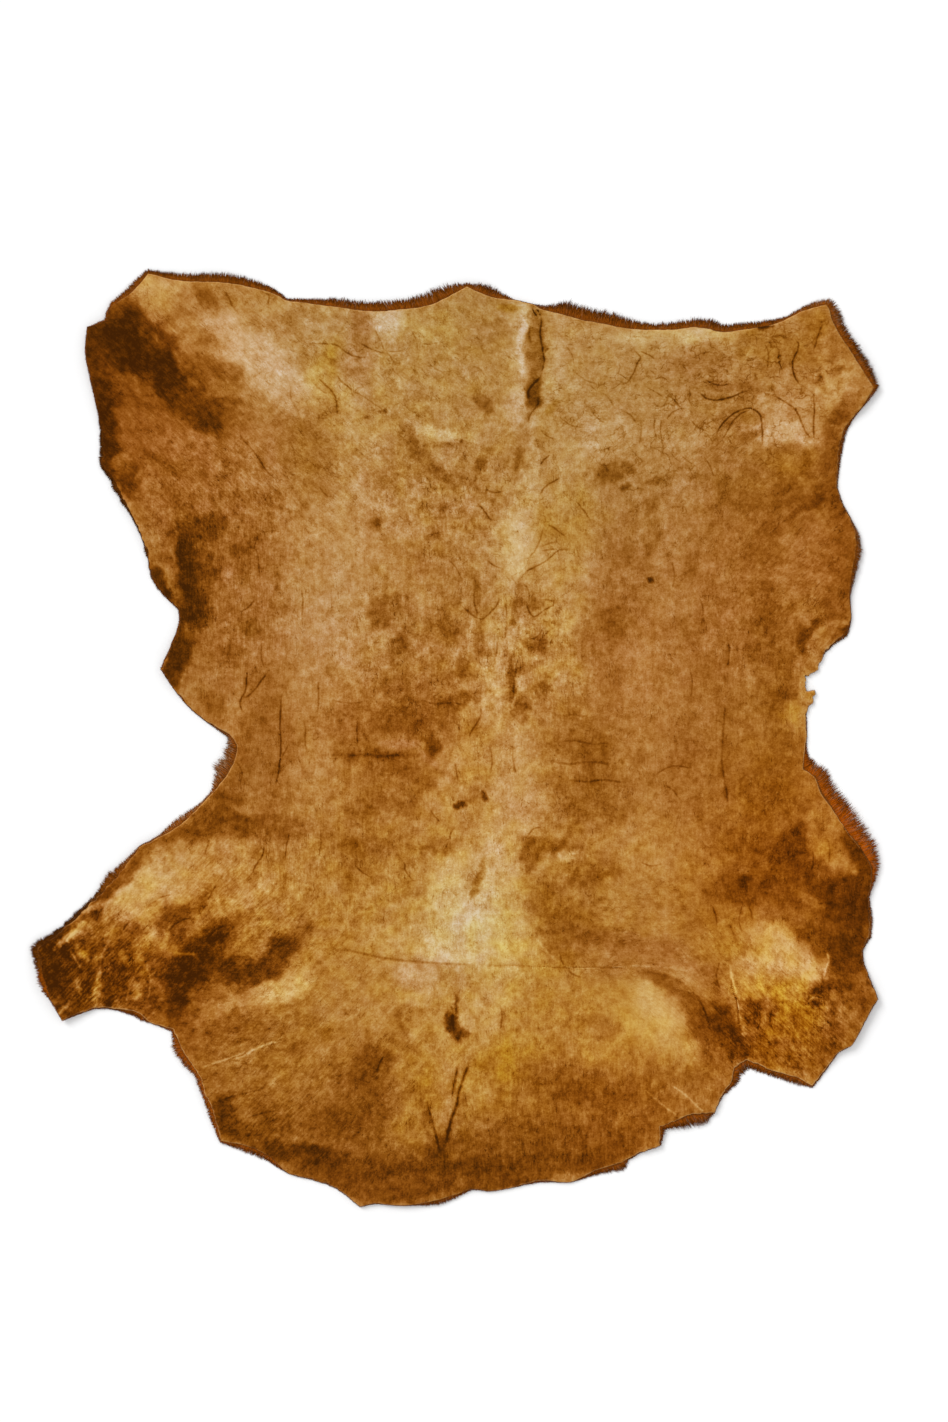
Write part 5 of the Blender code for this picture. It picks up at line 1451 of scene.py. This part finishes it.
def make_fringe(name, rim, hair_ends, lift, material, layers, step, fine):
    """The hair that shows past the cut edge. A layer is its share of the full reach, the
    height of its roots and its darkness."""
    parts, faces, count = [], [], 0
    for number, layer in enumerate(layers):
        seed = 720 + 40 * number + (15 if fine else 0)
        points, triangles, shade = fringe_layer(rim, hair_ends, lift, *layer, step, fine, seed)
        parts.append((points, shade))
        faces.append(triangles + count)
        count += len(points)
    points, shade = (np.vstack(arrays) for arrays in zip(*parts))
    piece = new_piece(name, points, faces, material)
    add_map(piece, faces, lock_map(count // points_each(LOCK_SECTIONS), LOCK_SECTIONS))
    add_hair_colour(piece, shade)
    return piece


def make_undercoat(rim, hair_ends, lift, material):
    """The dense bed of hair under the skin, which also reaches out into the fringe. Its colour is
    darkened as painted shade under the skin and between the locks.
    """
    count = len(rim)
    reach = hair_reach(rim, hair_ends)
    out = outward(rim, 6)
    x, y = rim.T
    uneven = 0.85 + 0.3 * noise(x / 0.013, y / 0.013, 741)
    edge = rim + out * (UNDERCOAT_REACH * reach * uneven)[:, None]
    field = filling(rim, rim, UNDERCOAT_STEP, 6.0 * MM, 9.0 * MM, 751)
    top = np.vstack([rim - out * MM, field])
    bottom = np.vstack([edge, field])
    top_z = PILE + lift(*top.T) - 0.9 * MM + waves(*top.T)
    x, y = bottom.T
    bottom_z = lift(x, y) + (3.2 + 0.9 * noise(x / 0.03, y / 0.03, 761)) * MM
    bottom_z[:count] = lift(*edge.T) + 1.3 * MM
    piece, points = new_sheet("undercoat", np.column_stack([top, top_z]),
                              np.column_stack([bottom, bottom_z]), count, material, False)
    x, y = points[:, 0], points[:, 1]
    # the bed is darkened to about 0.72 of the hair's colour: painted shade under the skin and
    # between the locks
    add_hair_colour(piece, HAIR_UNDER * (0.72 + 0.16 * layered(x, y, 0.03, 771, 3))[:, None])
    return piece


def stays_inside(rim, root, way, length):
    """Which of the locks lie inside the rim from end to end."""
    return np.all([inside(rim, root + way * (share * length)[:, None])
                   for share in (0.2, 0.4, 0.6, 0.8, 1.0)], axis=0)


def make_pile(name, rim, lift, material, half):
    """The locks on the underside of one half of the hide, laid like shingles."""
    root = staggered(rim, PILE_STEP, 8.0 * MM, 781)
    root = root[root[:, 0] * half >= 0.0]
    x, y = root.T
    chance = [lattice(np.arange(len(root)), 2, 790 + n) for n in range(6)]
    swing = 0.45 * noise(x / 0.025, y / 0.025, 801) + 0.5 * (chance[0] - 0.5)
    way = turned(hair_way(x, y), swing)
    length = (32.0 + 22.0 * chance[1]) * MM
    length = np.where(stays_inside(rim, root, way, length), length, 0.5 * length)
    kept = stays_inside(rim, root, way, length)
    root, way, length, *chance = (values[kept] for values in (root, way, length, *chance))
    x, y = root.T
    points, faces, along = locks(
        root, way, length, (5.0 + 4.5 * chance[2]) * MM, (1.4 + 0.8 * chance[3]) * MM,
        lift(x, y) + 2.6 * MM, lift(*(root + way * length[:, None]).T) + LOWEST_TIP,
        0.35 * (chance[4] - 0.5), False, PILE_SECTIONS)
    piece = new_piece(name, points, [faces], material)
    add_map(piece, [faces], lock_map(len(root), PILE_SECTIONS))
    tone = (HAIR_UNDER + 0.35 * chance[5][:, None] * (HAIR_ORANGE - HAIR_UNDER)) \
        * (0.55 + 0.55 * chance[1] + 0.2 * layered(x, y, 0.12, 811, 3))[:, None]
    shade = np.repeat(tone, points_each(PILE_SECTIONS), axis=0) * (0.7 + 0.5 * along)[:, None]
    add_hair_colour(piece, shade)
    return piece


# ---- Materials ------------------------------------------------------------------------

# The skin's colours as they are seen, from tone 0 to tone 1
TONES = (
    (0.00, (66, 32, 3)), (0.10, (86, 44, 4)), (0.20, (108, 56, 6)), (0.30, (129, 71, 10)),
    (0.40, (147, 86, 20)), (0.50, (164, 104, 37)), (0.60, (179, 122, 56)), (0.70, (191, 141, 78)),
    (0.80, (202, 158, 100)), (0.90, (212, 175, 122)), (1.00, (221, 191, 148)),
)
PALE_EDGE = colour(216, 164, 100)

# What a tone is multiplied by, in linear values, where each of the stored values is 1
TINTS = {
    "golden": (1.0, 0.97, 0.28, 1.0),
    "rosy": (1.0, 0.95, 1.22, 1.0),
    "chalk": (1.0, 1.23, 1.75, 1.0),
    "ruddy": (1.03, 0.85, 0.60, 1.0),
}
LEATHER_SHEEN = (1.0, 0.70, 0.30, 1.0)
HAIR_SHEEN = (1.0, 0.65, 0.35, 1.0)
SHINE = 0.03                             # specular level of leather and hair


class Nodes:
    """A material's node tree, with each kind of node made in one call."""

    def __init__(self, name):
        self.material = bpy.data.materials.new(name)
        self.material.use_nodes = True
        self.tree = self.material.node_tree
        self.shader = self.tree.nodes["Principled BSDF"]

    def feed(self, node, inputs):
        """Sets the node's sockets; inputs is {socket: value or other socket}."""
        for socket, value in inputs.items():
            if isinstance(value, bpy.types.NodeSocket):
                self.tree.links.new(value, node.inputs[socket])
            else:
                node.inputs[socket].default_value = value

    def add(self, kind, inputs=None, **settings):
        """A node with its settings and its inputs."""
        node = self.tree.nodes.new("ShaderNode" + kind)
        for name, value in settings.items():
            setattr(node, name, value)
        self.feed(node, inputs or {})
        return node

    def maths(self, operation, *values):
        """A Math node's result; values are its inputs in order."""
        return self.add("Math", dict(enumerate(values)), operation=operation).outputs[0]

    def times(self, *values):
        """The product of two values."""
        return self.maths("MULTIPLY", *values)

    def value(self, name):
        """A number stored on the vertices."""
        return self.add("Attribute", attribute_name=name).outputs["Fac"]

    def stretched(self, source, degrees, size_x, size_y):
        """Coordinates turned and scaled, so that a cell is size_x by size_y metres."""
        turn = (0.0, 0.0, math.radians(degrees))
        return self.add("Mapping", {"Vector": source, "Rotation": turn,
                                    "Scale": (size_x, size_y, 1.0)},
                        vector_type="TEXTURE").outputs[0]

    def noise(self, source, scale, detail, roughness=0.55):
        """Noise with a mean of 0."""
        node = self.add("TexNoise", {"Vector": source, "Scale": scale, "Detail": detail,
                                     "Roughness": roughness})
        return self.maths("SUBTRACT", node.outputs["Fac"], 0.5)

    def ranged(self, value, low, high, to_low=0.0, to_high=1.0):
        """The value's place between low and high, as one between to_low and to_high."""
        return self.add("MapRange", {"Value": value, "From Min": low, "From Max": high,
                                     "To Min": to_low, "To Max": to_high}).outputs[0]

    def patches(self, source, scale, detail, full):
        """0 over half of the surface, and patches that rise to 1 where the noise is full."""
        return self.ranged(self.noise(source, scale, detail), 0.0, full)

    def line(self, value, half_width):
        """Thin lines along the places where the value is 0."""
        return self.ranged(self.maths("ABSOLUTE", value), half_width, 0.3 * half_width)

    def spots(self, source, scale, always, radius, core):
        """Round spots at the middles of some cells; the chance of a full one is 1 - always."""
        cells = self.add("TexVoronoi", {"Vector": source, "Scale": scale})
        parted = self.add("SeparateColor", {0: cells.outputs["Color"]})
        chosen = self.ranged(parted.outputs[0], 0.80, always)
        return self.times(self.ranged(cells.outputs["Distance"], radius, core), chosen)

    def total(self, *terms):
        """The sum of (value, weight) pairs."""
        result = 0.0
        for value, weight in terms:
            result = self.maths("MULTIPLY_ADD", value, weight, result)
        return result

    def tinted(self, base, amount, tint, blend="MULTIPLY"):
        """The base colour, multiplied by the tint or mixed with it, by the amount."""
        return self.add("Mix", {0: amount, 6: base, 7: tint}, data_type="RGBA",
                        blend_type=blend).outputs[2]

    def bump(self, height, strength, distance):
        """A normal tilted by the height, as if it were distance metres high."""
        return self.add("Bump", {"Height": height, "Strength": strength,
                                 "Distance": distance}).outputs[0]


def along_the_hair(n, place):
    """Combed noise and fine scratches that follow the hair: four directions, each weighted by
    how well it agrees with the hair's own."""
    flow = n.add("Attribute", attribute_name="flow")
    parted = n.add("SeparateColor", {0: flow.outputs["Color"]})
    weights = [parted.outputs[0], parted.outputs[1], parted.outputs[2], flow.outputs["Alpha"]]
    combed, scratches = 0.0, 0.0
    for k, weight in enumerate(weights):
        hair = n.noise(n.stretched(place, 45.0 * k, 0.022, 0.0045), 1.0, 3.0, 0.65)
        combed = n.maths("MULTIPLY_ADD", hair, weight, combed)
        bands = n.noise(n.stretched(place, 45.0 * k + 8.0, 0.042, 0.012), 1.0, 2.0, 0.5)
        scratches = n.maths("MULTIPLY_ADD", n.line(bands, 0.014), weight, scratches)
    combed = n.times(combed, n.ranged(n.value("combing"), 0.5, 2.4, 0.30, 1.15))
    return combed, n.times(scratches, n.patches(place, 24.0, 2.0, 0.12))


def fine_wrinkles(n, place):
    """Long bent lines, and in places a net of short ones."""
    shift = n.add("TexNoise", {"Vector": place, "Scale": 34.0, "Detail": 3.0})
    bent = n.add("VectorMath", {0: shift.outputs["Color"], 1: (0.05, 0.05, 0.0)},
                 operation="MULTIPLY")
    bent = n.add("VectorMath", {0: place, 1: bent.outputs[0]}, operation="ADD").outputs[0]
    veins = n.times(n.line(n.noise(bent, 26.0, 2.0, 0.5), 0.012),
                    n.patches(place, 30.0, 2.0, 0.12))
    cracks = n.add("TexVoronoi", {"Vector": bent, "Scale": 38.0}, feature="DISTANCE_TO_EDGE")
    cracks = n.times(n.ranged(cracks.outputs["Distance"], 0.06, 0.015),
                     n.patches(place, 20.0, 3.0, 0.10))
    wrinkled = n.value("wrinkled")
    veins = n.times(veins, n.ranged(wrinkled, 0.0, 1.0, 0.45, 0.8))
    return n.maths("MULTIPLY_ADD", cracks, n.ranged(wrinkled, 0.2, 1.0), veins)


def leather_material():
    """The flesh side: stored tones, broken up by mottling, streaks, pores and wrinkles."""
    n = Nodes("stained_leather")
    place = n.add("TexCoord").outputs["Object"]
    busy = n.ranged(n.value("busy"), 0.4, 2.4, 0.62, 1.5)
    mottle = n.noise(place, 62.0, 4.0, 0.62)
    grain = n.noise(place, 290.0, 3.0, 0.65)
    combed, scratches = along_the_hair(n, place)
    pores = n.spots(place, 85.0, 0.90, 0.15, 0.06)
    ticks = n.spots(n.stretched(place, 3.0, 0.011, 0.034), 1.0, 0.92, 0.15, 0.05)
    wrinkles = fine_wrinkles(n, place)

    # The wrinkles' lines darken the tone: vein colour along the long lines and painted shade in
    # the folds of the net, beside their dents in the bump
    fine = n.total((mottle, 0.60), (grain, 0.44), (combed, 0.62), (pores, -0.22), (ticks, -0.22),
                   (scratches, -0.20), (wrinkles, -0.24))
    tone = n.maths("MULTIPLY_ADD", fine, busy, n.value("tone"))
    # darker along the creases, as vein colour and painted shade, and lighter along the ridges, as
    # a painted highlight
    tone = n.maths("MULTIPLY_ADD", n.value("mark"), -0.85, tone)
    ramp = n.add("ValToRGB", {0: tone})
    stops = ramp.color_ramp.elements
    while len(stops) < len(TONES):
        stops.new(0.5)
    for stop, (at, seen) in zip(stops, TONES):
        stop.position = at
        stop.color = (*(colour(*seen) / LIGHT_LEVEL), 1.0)
    shade = ramp.outputs[0]
    for name, tint in TINTS.items():
        shade = n.tinted(shade, n.value(name), tint)

    edge = n.times(n.ranged(n.value("cut"), 0.20, 0.60), n.value("pale"))
    uneven = n.ranged(n.total((mottle, 0.7), (grain, 0.7)), -0.15, 0.12, 0.2, 1.0)
    edge = n.times(edge, uneven)
    edge = n.times(edge, n.ranged(n.value("tone"), 0.05, 0.35))       # dark places stay dark
    shade = n.tinted(shade, edge, (*(PALE_EDGE / LIGHT_LEVEL), 1.0), "MIX")
    roughness = n.ranged(tone, 0.1, 0.8, 0.66, 0.84)
    height = n.total((mottle, 0.5), (grain, 0.7), (combed, 0.7), (pores, -0.35), (ticks, -0.3),
                     (scratches, -0.4), (wrinkles, -0.6))
    n.feed(n.shader, {"Base Color": shade, "Roughness": roughness, "Specular IOR Level": SHINE,
                      "Specular Tint": LEATHER_SHEEN, "Normal": n.bump(height, 0.40, 0.0014)})
    return n.material


def hair_material():
    """Stored colours, broken up into strands and tufts."""
    n = Nodes("hair_pile")
    place = n.add("TexCoord").outputs["Object"]
    stored = n.add("Attribute", attribute_name="hair").outputs["Color"]
    strands = n.noise(place, 700.0, 2.0, 0.6)
    tufts = n.noise(place, 120.0, 2.0)
    amount = n.maths("ADD", n.total((strands, 1.1), (tufts, 0.8)), 1.0)
    grey = n.add("CombineColor", {0: amount, 1: amount, 2: amount}).outputs[0]
    shade = n.tinted(stored, 1.0, grey)
    roughness = n.ranged(strands, -0.2, 0.2, 0.45, 0.65)
    n.feed(n.shader, {"Base Color": shade, "Roughness": roughness, "Specular IOR Level": SHINE,
                      "Specular Tint": HAIR_SHEEN, "Normal": n.bump(strands, 0.4, 0.0006)})
    return n.material


def floor_material():
    """A plain pale floor without any shine."""
    n = Nodes("pale_floor")
    n.feed(n.shader, {"Base Color": (0.96, 0.96, 0.96, 1.0), "Roughness": 0.95,
                      "Specular IOR Level": 0.0})
    return n.material


# ---- The stage --------------------------------------------------------------------------

def set_stage():
    """The floor, the even light all round, one soft sun, and a camera straight above."""
    scene = bpy.context.scene
    bpy.ops.mesh.primitive_plane_add(size=FLOOR_SIZE, location=(0.0, 0.0, cad_low.z))
    floor = bpy.context.object
    floor.name = "floor"
    floor.data.materials.append(floor_material())

    world = scene.world or bpy.data.worlds.new("studio")
    scene.world = world
    world.use_nodes = True
    background = world.node_tree.nodes["Background"]
    background.inputs["Color"].default_value = (1.0, 1.0, 1.0, 1.0)
    background.inputs["Strength"].default_value = WORLD_LIGHT

    sun = bpy.data.lights.new("key", "SUN")
    sun.energy = SUN_LIGHT
    sun.angle = SUN_WIDTH
    lamp = bpy.data.objects.new("key", sun)
    lamp.rotation_euler = Vector(SUN_FROM).to_track_quat("Z", "Y").to_euler()
    scene.collection.objects.link(lamp)

    camera = bpy.data.cameras.new("camera")
    camera.sensor_fit = "VERTICAL"
    camera.sensor_height = 36.0
    camera.lens = 85.0
    camera.clip_end = 60.0
    eye = bpy.data.objects.new("camera", camera)
    eye.location = (*VIEW_MIDDLE, VIEW_HEIGHT * camera.lens / camera.sensor_height)
    scene.collection.objects.link(eye)
    scene.camera = eye
    scene.view_settings.view_transform = "Standard"


# Each part of the fringe: its layers, the step from lock to lock, and whether it is fine hair
FRINGES = {
    "fringe_upper": (((0.62, 5.2 * MM, 0.95), (0.82, 4.2 * MM, 1.0)), 1.15 * MM, False),
    "fringe_lower": (((1.0, 3.2 * MM, 0.9),), 1.05 * MM, False),
    "fringe_fine": (((1.06, 4.0 * MM, 0.9), (0.9, 4.8 * MM, 0.8)), 2.4 * MM, True),
}


def main():
    """The skin and all the hair, then the stage."""
    edge, hair_ends, tree = read_solid(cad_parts["hide"])
    lift = HeightMap(tree)
    leather, hair = leather_material(), hair_material()
    skin, rim = make_skin(edge, lift, leather)
    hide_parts("hide")
    pieces = [skin, make_undercoat(rim, hair_ends, lift, hair)]
    for name, (layers, step, fine) in FRINGES.items():
        pieces.append(make_fringe(name, rim, hair_ends, lift, hair, layers, step, fine))
    for name, half in (("pile_left", -1.0), ("pile_right", 1.0)):
        pieces.append(make_pile(name, rim, lift, hair, half))

    set_stage()
    for piece in pieces:
        piece.data.calc_loop_triangles()
        print(piece.name, len(piece.data.loop_triangles), "triangles")


main()
